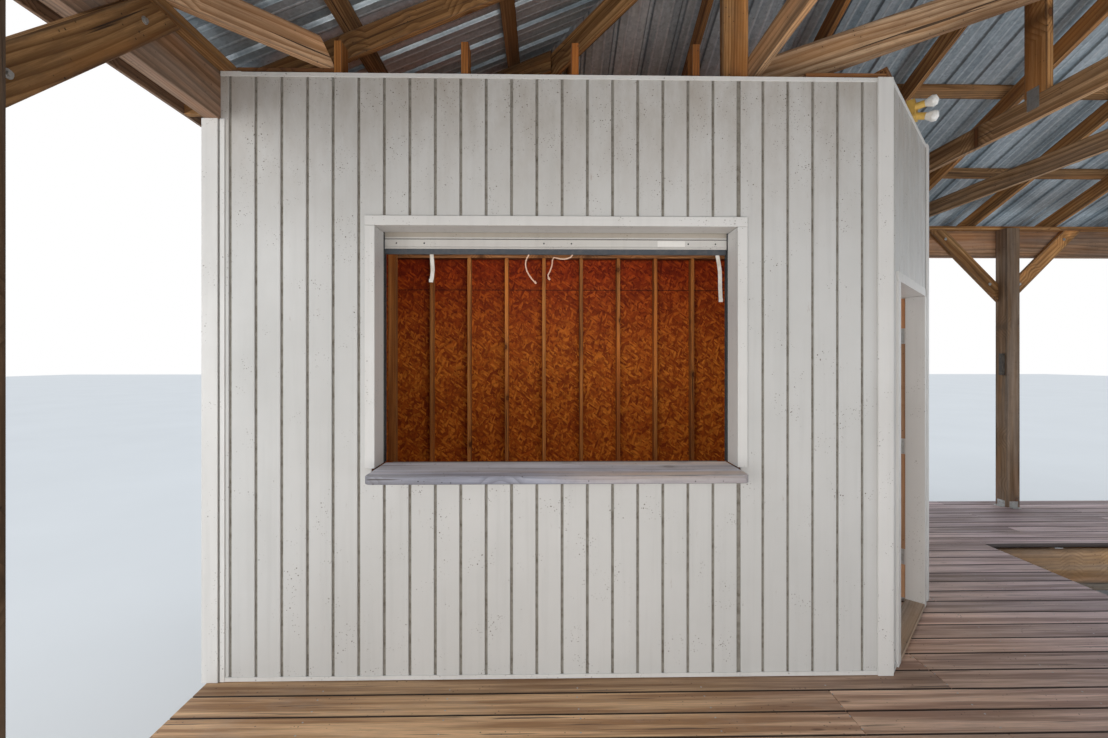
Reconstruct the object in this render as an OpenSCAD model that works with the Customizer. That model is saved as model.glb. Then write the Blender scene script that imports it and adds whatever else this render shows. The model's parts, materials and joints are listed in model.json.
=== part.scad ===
// Boathouse: an open timber boat shelter on piles, with a hip roof of ribbed metal sheets,
// a U-shaped deck round one boat slip, and a closed store room with a serving window
// and a door in its cut-off corner. Millimetres, +Z up, origin on the water at the plan's centre.

/* [Deck] */
// Height of the deck's top above the foot of the piles
deck_top = 750; // [600:10:1100]
// Length of the deck along the long side
deck_x = 10120; // [9800:20:10300]
// Depth of the deck along the short side
deck_y = 8200; // [8150:10:8400]
// Thickness of the deck boards
board_t = 38; // [28:1:45]
// Distance from the deck's centre to the slip's left edge
slip_left = 440; // [400:20:900]
// Clear width of the slip
slip_w = 3320; // [2600:20:3400]
// Distance from the deck's centre to the slip's inner end
slip_end = 2750; // [2300:10:2900]
// Height of the rim boards under the deck
rim_d = 286; // [235:1:300]
// Depth of the deck joists
joist_d = 184; // [140:1:235]
// Spacing of the deck joists
joist_pitch = 610; // [400:10:700]
// Depth of the doubled boards that cap the piles
cap_d = 235; // [184:1:240]
// Diameter of a pile
pile_dia = 250; // [200:10:320]
// Distance from a free edge of the deck to the middle of the piles
pile_inset = 180; // [150:5:200]

/* [Posts and beams] */
// Thickness of a sawn board
board_w = 38; // [35:1:45]
// Side of a square post
post_w = 140; // [120:1:160]
// Height from the deck to the top of the beams and walls
beam_top_h = 3030; // [2800:10:3300]
// Length over the beams
beam_x = 10140; // [9900:20:10200]
// Depth over the beams
beam_y = 8120; // [8000:20:8160]
// Depth of the two short side beams
side_beam_d = 235; // [184:1:286]
// Depth of the two long beams
long_beam_d = 286; // [235:1:300]
// Width of the flat plate on the beams
plate_w = 140; // [100:1:140]
// Place of the middle post of each short side
mid_post_y = -139; // [-400:1:200]
// Place of the middle post of the far side
far_post_x = 1690; // [1200:10:2200]
// Place of the first middle post of the near side
near_post_a = -2300; // [-2800:10:-1800]
// Place of the second middle post of the near side
near_post_b = 310; // [0:10:320]
// Height from the beam's top to where a knee brace's lower edge meets the post
brace_drop = 791; // [600:1:950]
// Depth of a knee brace
brace_d = 140; // [100:1:150]

/* [Roof] */
// Rise of the roof for each 12 of run
pitch_rise = 5; // [4:0.5:6]
// Height from the beam's top to the rafter's top, over the beam's outer face
heel_h = 170; // [155:1:185]
// Overhang of the rafters past the beams
eave = 330; // [200:10:450]
// Depth of a rafter
rafter_d = 140; // [120:1:150]
// Depth of a hip rafter
hip_d = 184; // [160:1:200]
// Spacing of the frames and the jack rafters
frame_pitch = 914; // [800:2:1000]
// Depth of the ties across the roof
tie_d = 140; // [100:1:150]
// Place of the upright struts of the tied frames
strut_y = 1445; // [1200:5:1700]
// Width of a purlin laid flat
purlin_w = 89; // [70:1:100]
// Spacing of the purlins, measured in plan
purlin_pitch = 850; // [700:10:950]
// Rise of the sway brace between the hip tie and the next tied frame
sway_rise = 640; // [500:10:700]
// Depth of the sway brace
sway_d = 184; // [140:1:190]
// Distance from the room's front to the inner end of the level corner brace
corner_brace_in = 460; // [400:10:600]
// Thickness of the roof sheet
sheet_t = 2; // [1:0.5:3]
// Spacing of the ribs of the roof sheet
rib_pitch = 229; // [200:1:250]
// Height of a rib of the roof sheet
rib_h = 19; // [12:1:25]
// Width of a rib at its foot
rib_foot = 45; // [35:1:60]
// Width of a rib at its top
rib_top = 18; // [12:1:25]
// Height of the fascia boards
fascia_d = 89; // [80:1:110]
// Width of one wing of the ridge and hip caps
cap_wing = 150; // [100:5:200]

/* [Room] */
// Distance from the centre to the room's front
room_front = 1040; // [900:10:1200]
// Distance from the centre to the start of the cut-off corner
corner_x = -1620; // [-1800:10:-1400]
// Size of the cut-off corner along each side
corner_cut = 800; // [780:5:900]
// Thickness of siding and sheathing together
skin_t = 24; // [18:1:30]
// Depth of a wall stud
stud_d = 89; // [80:1:100]
// Spacing of the wall studs
stud_pitch = 406.4; // [380:0.1:420]
// How far the tall studs run up past the front wall's top
tall_stud_h = 178; // [120:1:200]
// Width of a corner board
trim_w = 80; // [60:1:100]
// Thickness of a corner board
trim_t = 12; // [8:1:16]

/* [Serving window] */
// Distance from the centre to the middle of the window
window_x = -3322.5; // [-3400:0.5:-3250]
// Clear width of the window
window_w = 1817; // [1500:1:1900]
// Height from the deck to the sill
sill_h = 1020; // [900:5:1100]
// Height from the deck to the clear head
window_head_h = 2268; // [2150:1:2300]
// Thickness of the window and door frame boards
frame_t = 19; // [15:1:25]
// Depth of the window frame boards
frame_depth = 140; // [125:1:150]
// Width of the casing
casing_w = 50; // [40:1:70]
// How far the casing stands out from the siding
casing_t = 12; // [8:1:18]
// Thickness of the counter
counter_t = 38; // [30:1:45]
// How far the counter stands out from the wall
counter_out = 185; // [120:5:260]
// How far the counter reaches in from the wall's face
counter_in = 141; // [126:1:160]
// Radius of the counter's outer corners
counter_r = 35; // [10:1:60]
// Depth of the shelf behind the counter
shelf_in = 350; // [250:10:400]
// Radius of the rolled-up shutter
roll_r = 100; // [80:1:120]
// Height of the shutter's bottom bar
bar_h = 62; // [50:1:80]
// Thickness of the shutter's bottom bar
bar_t = 20; // [15:1:25]
// Height of the soft seal under the bar
seal_h = 28; // [15:1:40]
// Thickness of the soft seal under the bar
seal_t = 12; // [8:1:16]
// Diameter of the two rope ends under the bar
rope_dia = 7; // [5:0.5:9]
// Width of the two pull straps under the bar
strap_w = 20; // [15:1:25]
// Thickness of a pull strap
strap_t = 3; // [2:0.5:5]

/* [Door] */
// Width of the door leaf
leaf_w = 813; // [760:1:815]
// Thickness of the door leaf
leaf_t = 35; // [30:1:40]
// Clear height of the doorway
door_head_h = 2010; // [1950:1:2060]
// Gap round the door leaf
leaf_gap = 5; // [5:0.5:7]
// Height of the threshold
sill_t = 25; // [15:1:35]
// Gap between the door leaf and the threshold
sill_gap = 8; // [6:1:15]
// Depth from the siding to the leaf's outer face when shut
leaf_in = 95; // [90:1:100]
// Thickness of the door stop
stop_t = 12; // [8:1:16]
// Angle by which the leaf stands open at rest
open_angle = 105; // [60:5:125]
// Radius of a hinge knuckle
knuckle_r = 6; // [5:0.5:7]
// Radius of a hinge pin
pin_r = 3; // [2:0.25:3.5]
// Height of a hinge
hinge_h = 100; // [75:1:110]
// Height of the lowest hinge above the deck
low_hinge_h = 296; // [250:1:350]
// Height of the middle hinge above the deck
mid_hinge_h = 1027; // [950:1:1100]
// Height of the top hinge above the deck
top_hinge_h = 1756; // [1700:1:1800]
// Height of the knob above the deck
knob_h = 950; // [850:10:1050]

/* [Fittings] */
// Place of the flood light along the cut-off corner
light_s = 600; // [300:10:800]
// Diameter of a reflector bulb of the flood light
bulb_dia = 66; // [55:1:70]
// Height of the small box's foot above the deck
post_box_z = 1435; // [1300:5:1600]
// Height of the small box on the far post
post_box_h = 235; // [150:5:250]
// Depth of the small box, out from the post
post_box_out = 30; // [20:1:60]
// Width of the small box
post_box_w = 45; // [30:1:80]

/* [Hidden] */
$fn = 48;

// width of the narrow corner board at the far end of the cut-off corner
narrow_w = trim_w * 3 / 4;
// small joint between like pieces that share a sub-part
joint = 1;
// clearance between sloping faces that bear on each other
fit = 0.2;
// least space between the last piece of a row and the piece that ends the row
row_end = 100;
half_x = beam_x / 2;
half_y = beam_y / 2;
beam_t = 2 * board_w;
beam_top = deck_top + beam_top_h;
plate_top = beam_top + board_w;
slope = pitch_rise / 12;
plumb = sqrt(1 + slope * slope);
rafter_v = rafter_d * plumb;
stud_w = board_w;
wall_t = skin_t + stud_d;
corner_k = tan(22.5);
slip_right = slip_left + slip_w;
joist_top = deck_top - board_t;
cap_top = joist_top - joist_d;
pile_top = cap_top - cap_d;
post_in_x = half_x - beam_t - post_w / 2;
post_in_y = half_y - beam_t - post_w / 2;

// height of the rafters' top edge at a plan distance in from the beams' outer face
function rafter_top(d) = beam_top + heel_h + slope * d;
function rafter_low(d) = rafter_top(d) - rafter_v;

// box from two opposite corners
module box(lo, hi) {
    translate(lo)
        cube(hi - lo);
}

// a profile drawn in the plane of Y and Z, given a thickness along X from x0 to x1
module slab_x(x0, x1) {
    translate([x0, 0, 0])
        rotate([90, 0, 90])
            linear_extrude(x1 - x0)
                children();
}

// a profile drawn in the plane of X and Z, given a thickness along Y from y0 to y1
module slab_y(y0, y1) {
    translate([0, y1, 0])
        rotate([90, 0, 0])
            linear_extrude(y1 - y0)
                children();
}

// places something at one corner and at its mirror images
module four_ways() {
    for (sx = [0, 1])
        for (sy = [0, 1])
            mirror([sx, 0, 0])
                mirror([0, sy, 0])
                    children();
}

module both_x() {
    for (sx = [0, 1])
        mirror([sx, 0, 0])
            children();
}

module both_y() {
    for (sy = [0, 1])
        mirror([0, sy, 0])
            children();
}

// Base

rim_in = board_w + 1;
cap_rows = [-deck_y / 2 + pile_inset, -deck_y / 6, deck_y / 6];
far_cap_rows = [slip_end + pile_inset, deck_y / 2 - pile_inset];
end_pile_x = deck_x / 2 - pile_inset;
left_pile_x = [-end_pile_x, -end_pile_x / 2, slip_left - pile_inset];
right_pile_x = [slip_right + pile_inset, end_pile_x];

module pile(x, y) {
    translate([x, y, 0])
        cylinder(d = pile_dia, h = pile_top);
}

module piles() {
    color("#6b5a49") {
        for (y = cap_rows)
            for (x = concat(left_pile_x, right_pile_x))
                pile(x, y);
        for (x = concat(left_pile_x, far_post_x, right_pile_x))
            pile(x, far_cap_rows[1]);
    }
}

module cap(x0, x1, y) {
    box([x0, y - board_w, pile_top], [x1, y + board_w, cap_top]);
}

module pile_caps() {
    end_x = deck_x / 2 - rim_in;
    color("#7a634a") {
        for (y = cap_rows) {
            cap(-end_x, slip_left - rim_in, y);
            cap(slip_right + rim_in, end_x, y);
        }
        for (y = far_cap_rows)
            cap(-end_x, end_x, y);
    }
}

module joist(x, y0, y1, d = joist_d) {
    box([x - board_w / 2, y0, joist_top - d], [x + board_w / 2, y1, joist_top]);
}

// the joists run across the boards, with a deeper rim joist at each free edge
module joists() {
    y_end = deck_y / 2 - board_w;
    edge = deck_x / 2 - board_w / 2;
    rim_left = slip_left - board_w / 2;
    rim_right = slip_right + board_w / 2;
    color("#8a7358") {
        for (x = [-edge, edge])
            joist(x, -y_end, y_end, rim_d);
        for (x = [-edge + joist_pitch : joist_pitch : rim_left - row_end])
            joist(x, -y_end, y_end);
        for (x = [edge - joist_pitch : -joist_pitch : rim_right + row_end])
            joist(x, -y_end, y_end);
        for (x = [rim_left, rim_right])
            joist(x, -y_end, y_end);
        for (x = [rim_left + joist_pitch : joist_pitch : rim_right - row_end])
            joist(x, slip_end + board_w, y_end);
    }
}

module rim_joists() {
    rim_low = joist_top - rim_d;
    color("#8a6a45") {
        box([-deck_x / 2, deck_y / 2 - board_w, rim_low], [deck_x / 2, deck_y / 2, joist_top]);
        box([-deck_x / 2, -deck_y / 2, rim_low], [slip_left, -deck_y / 2 + board_w, joist_top]);
        box([slip_right, -deck_y / 2, rim_low], [deck_x / 2, -deck_y / 2 + board_w, joist_top]);
        box([slip_left, slip_end, rim_low], [slip_right, slip_end + board_w, joist_top]);
    }
}

module deck_main() {
    color("#b39274")
        box([-deck_x / 2, -deck_y / 2, joist_top], [slip_left, deck_y / 2, deck_top]);
}

module deck_far_walk() {
    color("#8d7670")
        box([slip_left, slip_end, joist_top], [deck_x / 2, deck_y / 2, deck_top]);
}

module deck_right_walk() {
    color("#8d7670")
        box([slip_right, -deck_y / 2, joist_top], [deck_x / 2, slip_end, deck_top]);
}

// Posts and beams

side_post_y = [-post_in_y, mid_post_y];
right_post_y = [-post_in_y, mid_post_y, post_in_y];
near_post_x = [near_post_a, near_post_b];

module post(x, y) {
    box([x - post_w / 2, y - post_w / 2, deck_top], [x + post_w / 2, y + post_w / 2, beam_top]);
}

module posts() {
    color("#7d6a52") {
        for (y = side_post_y)
            post(-post_in_x, y);
        for (y = right_post_y)
            post(post_in_x, y);
        for (x = near_post_x)
            post(x, -post_in_y);
        post(far_post_x, post_in_y);
    }
}

module side_beams() {
    color("#86705a")
        both_x()
            box([half_x - beam_t, -half_y, beam_top - side_beam_d], [half_x, half_y, beam_top]);
}

module long_beams() {
    inner = half_x - beam_t - joint;
    color("#86705a")
        both_y()
            box([-inner, half_y - beam_t, beam_top - long_beam_d], [inner, half_y, beam_top]);
}

// one brace in the plane of s and Z: it butts the post at s = 0 and laps up the beam's face
module brace_profile() {
    v = brace_d * sqrt(2);
    low = beam_top - brace_drop;
    polygon([[0, low], [brace_drop, beam_top], [brace_drop - v, beam_top], [0, low + v]]);
}

module side_brace(x0, y, dir) {
    translate([0, y, 0])
        mirror([0, dir < 0 ? 1 : 0, 0])
            slab_x(x0, x0 + board_w)
                brace_profile();
}

module long_brace(y0, x, dir) {
    translate([x, 0, 0])
        mirror([dir < 0 ? 1 : 0, 0, 0])
            slab_y(y0, y0 + board_w)
                brace_profile();
}

module knee_braces() {
    side_x = half_x - beam_t - board_w;
    long_y = half_y - beam_t - board_w;
    face = post_w / 2;
    color("#a9825a") {
        side_brace(-side_x - board_w, -post_in_y + face, 1);
        side_brace(side_x, -post_in_y + face, 1);
        side_brace(side_x, post_in_y - face, -1);
        for (dir = [-1, 1]) {
            side_brace(-side_x - board_w, mid_post_y + dir * face, dir);
            side_brace(side_x, mid_post_y + dir * face, dir);
            long_brace(long_y, far_post_x + dir * face, dir);
            for (x = near_post_x)
                long_brace(-long_y - board_w, x + dir * face, dir);
        }
        long_brace(long_y, post_in_x - face, -1);
        long_brace(-long_y - board_w, post_in_x - face, -1);
        long_brace(-long_y - board_w, -post_in_x + face, 1);
    }
}

module beam_plates() {
    color("#a98258") {
        both_x()
            box([half_x - plate_w, -half_y, beam_top], [half_x, half_y, plate_top]);
        both_y()
            box([-half_x + plate_w + joint, half_y - plate_w, beam_top],
                [half_x - plate_w - joint, half_y, plate_top]);
    }
}

// Roof timber: profiles are drawn over d, the plan distance in from the beams' outer face

fascia_low = rafter_top(-eave) - fascia_d;

// a rafter with a level cut under its tail and a notch that seats on the plate
module rafter_profile(d_end) {
    seat = (plate_top - rafter_low(0)) / slope;
    tail = (fascia_low - rafter_low(0)) / slope;
    polygon([[-eave, rafter_top(-eave)], [d_end, rafter_top(d_end)], [d_end, rafter_low(d_end)],
        [seat, plate_top], [0, plate_top], [0, rafter_low(0)],
        [min(0, tail), max(fascia_low, rafter_low(min(0, tail)))], [-eave, fascia_low]]);
}

// a rafter of the far slope centred on x
module far_rafter(x, d_end) {
    translate([0, half_y, 0])
        mirror([0, 1, 0])
            slab_x(x - board_w / 2, x + board_w / 2)
                rafter_profile(d_end);
}

// a rafter of the right slope centred on y
module right_rafter(y, d_end) {
    translate([half_x, 0, 0])
        mirror([1, 0, 0])
            slab_y(y - board_w / 2, y + board_w / 2)
                rafter_profile(d_end);
}

ridge_half = half_x - half_y;
ridge_top = rafter_top(half_y) - slope * board_w / 2;
ridge_d = hip_d;
hip_slope = slope / sqrt(2);
hip_drop = slope * board_w / 2 / sqrt(2) + 2 * fit;
// plan distance from a hip's centre line to a jack rafter's end, square to the eave
hip_clear = board_w / 2 * sqrt(2) + board_w / 2;

// a hip rafter in its own upright plane, over the distance q along the diagonal
module hip_profile() {
    q_end = (half_y - board_w / 2) * sqrt(2) - board_w;
    q0 = -eave * sqrt(2) + board_w;
    hip_v = hip_d * sqrt(1 + hip_slope * hip_slope);
    top0 = rafter_top(0) - hip_drop;
    seat_q = (plate_top - top0 + hip_v) / hip_slope;
    polygon([[q0, top0 + hip_slope * q0], [q_end, top0 + hip_slope * q_end],
        [q_end, top0 + hip_slope * q_end - hip_v], [seat_q, plate_top],
        [-board_w, plate_top], [-board_w, fascia_low], [q0, fascia_low]]);
}

module hip_rafters() {
    color("#9c7048")
        four_ways()
            translate([half_x, half_y, 0])
                rotate([0, 0, 225])
                    slab_y(-board_w / 2, board_w / 2)
                        hip_profile();
}

module ridge_board() {
    color("#9a6f49")
        box([-ridge_half, -board_w / 2, ridge_top - ridge_d], [ridge_half, board_w / 2, ridge_top]);
}

frame_x = [for (k = [0 : 5]) (k - 2.5) * frame_pitch];

module common_rafters() {
    color("#a5754a")
        both_y()
            for (x = frame_x)
                if (abs(x) < ridge_half)
                    far_rafter(x, half_y - board_w / 2);
}

shortest_jack = 400;
side_jack_n = floor((half_y - hip_clear - shortest_jack) / frame_pitch + 0.5);
side_jack_y = concat(0, [for (k = [-side_jack_n : side_jack_n - 1]) (k + 0.5) * frame_pitch]);

// jack rafters reach from the eave to the side of a hip
module jack_rafters() {
    color("#946642") {
        both_y()
            for (k = [-5 : 4]) {
                x = (k + 0.5) * frame_pitch;
                d = half_x - abs(x) - hip_clear;
                if (abs(x) > ridge_half && d > shortest_jack)
                    far_rafter(x, d);
            }
        both_x()
            for (y = side_jack_y)
                right_rafter(y, y == 0 ? half_y - board_w : half_y - abs(y) - hip_clear);
    }
}

// a tie beam from plate to plate, cut to the slope at both ends
module tie_profile(low, d) {
    top = low + d;
    seat = (plate_top - rafter_low(0)) / slope;
    d_top = (top - rafter_low(0)) / slope;
    half = [[seat, plate_top], [plate_w, plate_top], [plate_w, low]];
    polygon(concat([for (p = half) [p[0] - half_y, p[1]]],
        [for (i = [2 : -1 : 0]) [half_y - half[i][0], half[i][1]]],
        [[half_y - d_top, top], [d_top - half_y, top]]));
}

hip_tie_x = frame_x[0];
hip_post_y = half_y - (half_x - abs(hip_tie_x));
// how far the strut beside the hip tie stands from the hip, and stays below it
hip_strut_off = 90;

module roof_ties() {
    color("#a88055") {
        slab_x(hip_tie_x - board_w / 2, hip_tie_x + board_w / 2)
            tie_profile(plate_top, tie_d);
        for (x = [frame_x[2], frame_x[3]])
            slab_x(x - board_w / 2, x + board_w / 2)
                tie_profile(beam_top, tie_d);
    }
}

// uprights: in the plane of the tied frames, and beside the hip tie under each hip
module tie_struts() {
    half = tie_d / 2;
    color("#a27647") {
        both_y()
            for (x = [frame_x[2], frame_x[3]])
                slab_x(x - board_w / 2, x + board_w / 2)
                    polygon([[strut_y - half, beam_top + tie_d], [strut_y + half, beam_top + tie_d],
                        [strut_y + half, rafter_low(half_y - strut_y - half) - fit],
                        [strut_y - half, rafter_low(half_y - strut_y + half) - fit]]);
        both_y() {
            x1 = hip_tie_x - board_w / 2;
            y0 = hip_post_y - hip_strut_off;
            top = rafter_top(half_x - abs(hip_tie_x)) - hip_d - hip_strut_off;
            box([x1 - tie_d, y0 - board_w / 2, plate_top], [x1, y0 + board_w / 2, top]);
        }
    }
}

// a sway brace between the first two tied frames, and a level brace across the corner at the room's front
module roof_braces() {
    x0 = hip_tie_x + board_w / 2;
    x1 = frame_x[2] + board_w / 2;
    y1 = strut_y - tie_d / 2;
    grade = sway_rise / (x1 - x0);
    upright = sway_d * sqrt(1 + grade * grade);
    seat = board_w;
    corner_len = (brace_stud_x - stud_w / 2 + half_x - plate_w / 2) * sqrt(2) - board_w - joint;
    bevel = tie_d / 2;
    heel = bevel / 4;
    color("#c49a70") {
        slab_y(y1 - board_w, y1)
            polygon([[x0, plate_top], [x0 + seat, plate_top], [x1, plate_top + sway_rise],
                [x1, plate_top + sway_rise + upright], [x0, plate_top + upright]]);
        translate([-half_x + plate_w / 2, room_front - corner_brace_in, plate_top])
            rotate([0, 0, 45])
                slab_y(-board_w, 0)
                    polygon([[0, 0], [corner_len, 0], [corner_len, heel], [corner_len - bevel, tie_d], [0, tie_d]]);
    }
}

// Purlins lie flat on the rafters; rows run round the roof and stop at the hips. The first row
// stands back a little from the rafters' tails.
purlin_back = 5;
purlin_first = -eave + purlin_w / 2 + purlin_back;
purlin_second = 600;
purlin_rows = concat(purlin_first, [for (k = [0 : 3]) purlin_second + k * purlin_pitch]);

// a shape drawn over the far slope's plan, laid on it at a height above the rafters, and given a thickness
module on_slope(over, t) {
    multmatrix([[1, 0, 0, 0], [0, 1, 0, 0], [0, -slope, 1, rafter_top(half_y) + over * plumb], [0, 0, 0, 1]])
        linear_extrude(t * plumb)
            children();
}

// plan outline of a strip between two distances from the beams' face on the slope of half-length len
module strip_plan(d0, d1, len, out, trim) {
    y0 = out - d0;
    y1 = out - d1;
    x0 = len - d0 - trim;
    x1 = len - d1 - trim;
    polygon([[-x0, y0], [x0, y0], [x1, y1], [-x1, y1]]);
}

module purlin_set(len, out, turn) {
    rotate([0, 0, turn])
        translate([0, out - half_y, 0])
            for (d = purlin_rows)
                on_slope(0, board_w)
                    strip_plan(d - purlin_w / 2, d + purlin_w / 2, len, half_y, joint);
}

module purlins() {
    color("#94683f") {
        for (turn = [0, 180])
            purlin_set(half_x, half_y, turn);
        for (turn = [90, 270])
            purlin_set(half_y, half_x, turn);
    }
}

// how far the sheets reach past the rafters' tails, and how far they stop from ridge and hips
sheet_out = 20;
sheet_gap = 3;

// half of the section of a ribbed sheet, drawn over X from the middle of the slope out past len
function rib_points(len, lift) = [for (k = [0 : ceil(len / rib_pitch)])
    for (p = [[rib_foot, 0], [rib_top, rib_h], [-rib_top, rib_h], [-rib_foot, 0]])
        [(k + 0.5) * rib_pitch - p[0] / 2, p[1] + lift]];

// the whole section, its underside first and its top side back again
module sheet_section(len) {
    under = rib_points(len, 0);
    upper = rib_points(len, sheet_t);
    n = len(under) - 1;
    polygon(concat([for (i = [n : -1 : 0]) [-under[i][0], under[i][1]]], under,
        [for (i = [n : -1 : 0]) upper[i]], [for (p = upper) [-p[0], p[1]]]));
}

// a ribbed roof sheet over the purlins, from the eave to the ridge or to the peak of the hip end
module roof_slope(len, out, turn) {
    low = -eave - sheet_out;
    top = half_y - sheet_gap;
    z = rafter_top(half_y) + (board_w + fit) * plumb;
    rotate([0, 0, turn])
        translate([0, out - half_y, 0])
            intersection() {
                multmatrix([[1, 0, 0, 0], [0, 1, 0, 0], [0, -slope, 1, z], [0, 0, 0, 1]])
                    slab_y(0, half_y + eave + sheet_out + joint)
                        scale([1, plumb])
                            sheet_section(len + eave + sheet_out);
                translate([0, 0, beam_top - eave])
                    linear_extrude(rafter_top(half_y) + eave)
                        strip_plan(low, top, len, half_y, sheet_gap);
            }
}

module roof_far() {
    color("#9aa6ad")
        roof_slope(half_x, half_y, 0);
}

module roof_near() {
    color("#9aa6ad")
        roof_slope(half_x, half_y, 180);
}

module roof_left() {
    color("#9aa6ad")
        roof_slope(half_y + joint, half_x, 90);
}

module roof_right() {
    color("#9aa6ad")
        roof_slope(half_y + joint, half_x, 270);
}

// height of the caps' underside over the rafters: they lie on the ribs
cap_base = board_w + 2 * fit + rib_h + sheet_t;
cap_t = 3;
cap_out = 20;
// the ridge cap stops short of the four hip caps
cap_stop = 60;

// folded caps over the ridge and the four hips
module roof_caps() {
    ridge_z = rafter_top(half_y) + cap_base * plumb;
    wing_z = ridge_z - slope * cap_wing;
    x = half_x + eave + cap_out;
    y = half_y + eave + cap_out;
    color("#aab3b8") {
        slab_x(-ridge_half + cap_stop, ridge_half - cap_stop)
            polygon([[-cap_wing, wing_z], [0, ridge_z], [cap_wing, wing_z],
                [cap_wing, wing_z + cap_t], [0, ridge_z + cap_t], [-cap_wing, wing_z + cap_t]]);
        four_ways()
            intersection() {
                union() {
                    hip_wing();
                    translate([half_x, half_y, 0])
                        mirror([1, -1, 0])
                            translate([-half_x, -half_y, 0])
                                hip_wing();
                }
                box([ridge_half + cap_out, cap_out, 0], [x, y, ridge_z + rib_h]);
            }
    }
}

// the wing of a hip cap that lies on the far slope
module hip_wing() {
    a = cap_wing * sqrt(2);
    x = half_x + eave + cap_out;
    y = half_y + eave + cap_out;
    on_slope(cap_base, cap_t)
        polygon([[x, y], [x - a, y], [ridge_half - a, 0], [ridge_half, 0]]);
}

module fascia() {
    x = half_x + eave;
    y = half_y + eave;
    z = rafter_top(-eave);
    color("#9c8878") {
        both_y()
            box([-x - board_w / 2, y, z - fascia_d], [x + board_w / 2, y + board_w / 2, z]);
        both_x()
            box([x, -y + joint, z - fascia_d], [x + board_w / 2, y - joint, z]);
    }
}

// Room: walls follow the outline P0 P1 P2 P3 P4, siding face outside

room_left = -half_x;
room_right = corner_x + corner_cut;
room_back = half_y;
angle_len = corner_cut * sqrt(2);
window_left = window_x - window_w / 2;
window_right = window_x + window_w / 2;
rough_left = window_left - frame_t;
rough_right = window_right + frame_t;
rough_head = deck_top + window_head_h + frame_t;
sill_z = deck_top + sill_h;
door_clear = leaf_w + 2 * leaf_gap;
// the doorway stands a little off the middle of the cut-off corner
door_off = 11;
door_mid = angle_len / 2 - door_off;
door_a = door_mid - door_clear / 2;
door_b = door_mid + door_clear / 2;
head_z = deck_top + door_head_h;
frame_in = leaf_in + leaf_t;

// local frame of the cut-off corner: X along the wall, Y into the room, Z from the ground
module on_angle() {
    translate([corner_x, room_front, 0])
        rotate([0, 0, 45])
            children();
}

module front_slab(x0, x1, z0, z1) {
    box([x0, room_front, z0], [x1, room_front + skin_t, z1]);
}

module front_wall_left() {
    x0 = room_left + skin_t;
    x1 = room_left + beam_t;
    z = beam_top - side_beam_d;
    color("#d9d6cf")
        slab_y(room_front, room_front + skin_t)
            polygon([[x0, deck_top], [rough_left, deck_top], [rough_left, beam_top],
                [x1, beam_top], [x1, z], [x0, z]]);
}

module front_wall_right() {
    color("#d9d6cf")
        translate([0, 0, deck_top])
            linear_extrude(beam_top_h)
                polygon([[rough_right, room_front], [corner_x, room_front],
                    [corner_x - corner_k * skin_t, room_front + skin_t], [rough_right, room_front + skin_t]]);
}

module front_wall_over() {
    color("#d9d6cf")
        front_slab(rough_left, rough_right, rough_head, beam_top);
}

module front_wall_under() {
    color("#d9d6cf")
        front_slab(rough_left, rough_right, deck_top, sill_z);
}

// a stretch of the cut-off corner's skin; start and end say how far the inner face is mitred
module angle_slab(s0, s1, z0, z1, start = 0, end = 0) {
    on_angle()
        translate([0, 0, z0])
            linear_extrude(z1 - z0)
                polygon([[s0, 0], [s1, 0], [s1 + end, skin_t], [s0 + start, skin_t]]);
}

module angle_wall_near() {
    color("#d9d6cf")
        angle_slab(fit, door_a - frame_t, deck_top, beam_top, start = corner_k * skin_t);
}

module angle_wall_far() {
    color("#d9d6cf")
        angle_slab(door_b + frame_t, angle_len - fit, deck_top, beam_top, end = -corner_k * skin_t);
}

module angle_wall_over() {
    color("#d9d6cf")
        angle_slab(door_a - frame_t, door_b + frame_t, head_z + frame_t, beam_top);
}

module right_wall() {
    y0 = room_front + corner_cut;
    color("#d9d6cf")
        translate([0, 0, deck_top])
            linear_extrude(beam_top_h - long_beam_d)
                polygon([[room_right, y0], [room_right, room_back - skin_t],
                    [room_right - skin_t, room_back - skin_t], [room_right - skin_t, y0 + corner_k * skin_t]]);
    color("#d9d6cf")
        box([room_right - skin_t, y0 + corner_k * skin_t, beam_top - long_beam_d],
            [room_right, half_y - beam_t, beam_top]);
}

module back_wall() {
    color("#b9773f")
        box([room_left + skin_t, room_back - skin_t, deck_top], [room_right, room_back, beam_top - long_beam_d]);
}

module left_wall() {
    color("#d9d6cf")
        box([room_left, room_front, deck_top], [room_left + skin_t, room_back, beam_top - side_beam_d]);
}

// Wall framing of studs and plates

stud_low = deck_top + board_w;

module stud_box(x, y, wx, wy, z0, z1) {
    box([x - wx / 2, y - wy / 2, z0], [x + wx / 2, y + wy / 2, z1]);
}

// three studs of the front wall, and the one at the corner brace, run up past the wall's top
brace_stud_x = -4428;
tall_stud_x = [-3790, -3231, -2614];
right_stud_x = -2030;
back_stud_x = -3400;
stud_off = 250;

module front_studs(y) {
    for (x = [room_left + beam_t + stud_w, right_stud_x])
        stud_box(x, y, stud_w, stud_d, stud_low, beam_top);
    stud_box(brace_stud_x, y, stud_w, stud_d, stud_low, beam_top + tall_stud_h);
    for (x = [rough_left - stud_w / 2, rough_right + stud_w / 2])
        stud_box(x, y, stud_w, stud_d, stud_low, beam_top - board_w);
    for (x = tall_stud_x) {
        stud_box(x, y, stud_w, stud_d, stud_low, sill_z - frame_t - board_w);
        stud_box(x, y, stud_w, stud_d, rough_head + board_w, beam_top + tall_stud_h);
    }
}

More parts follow.
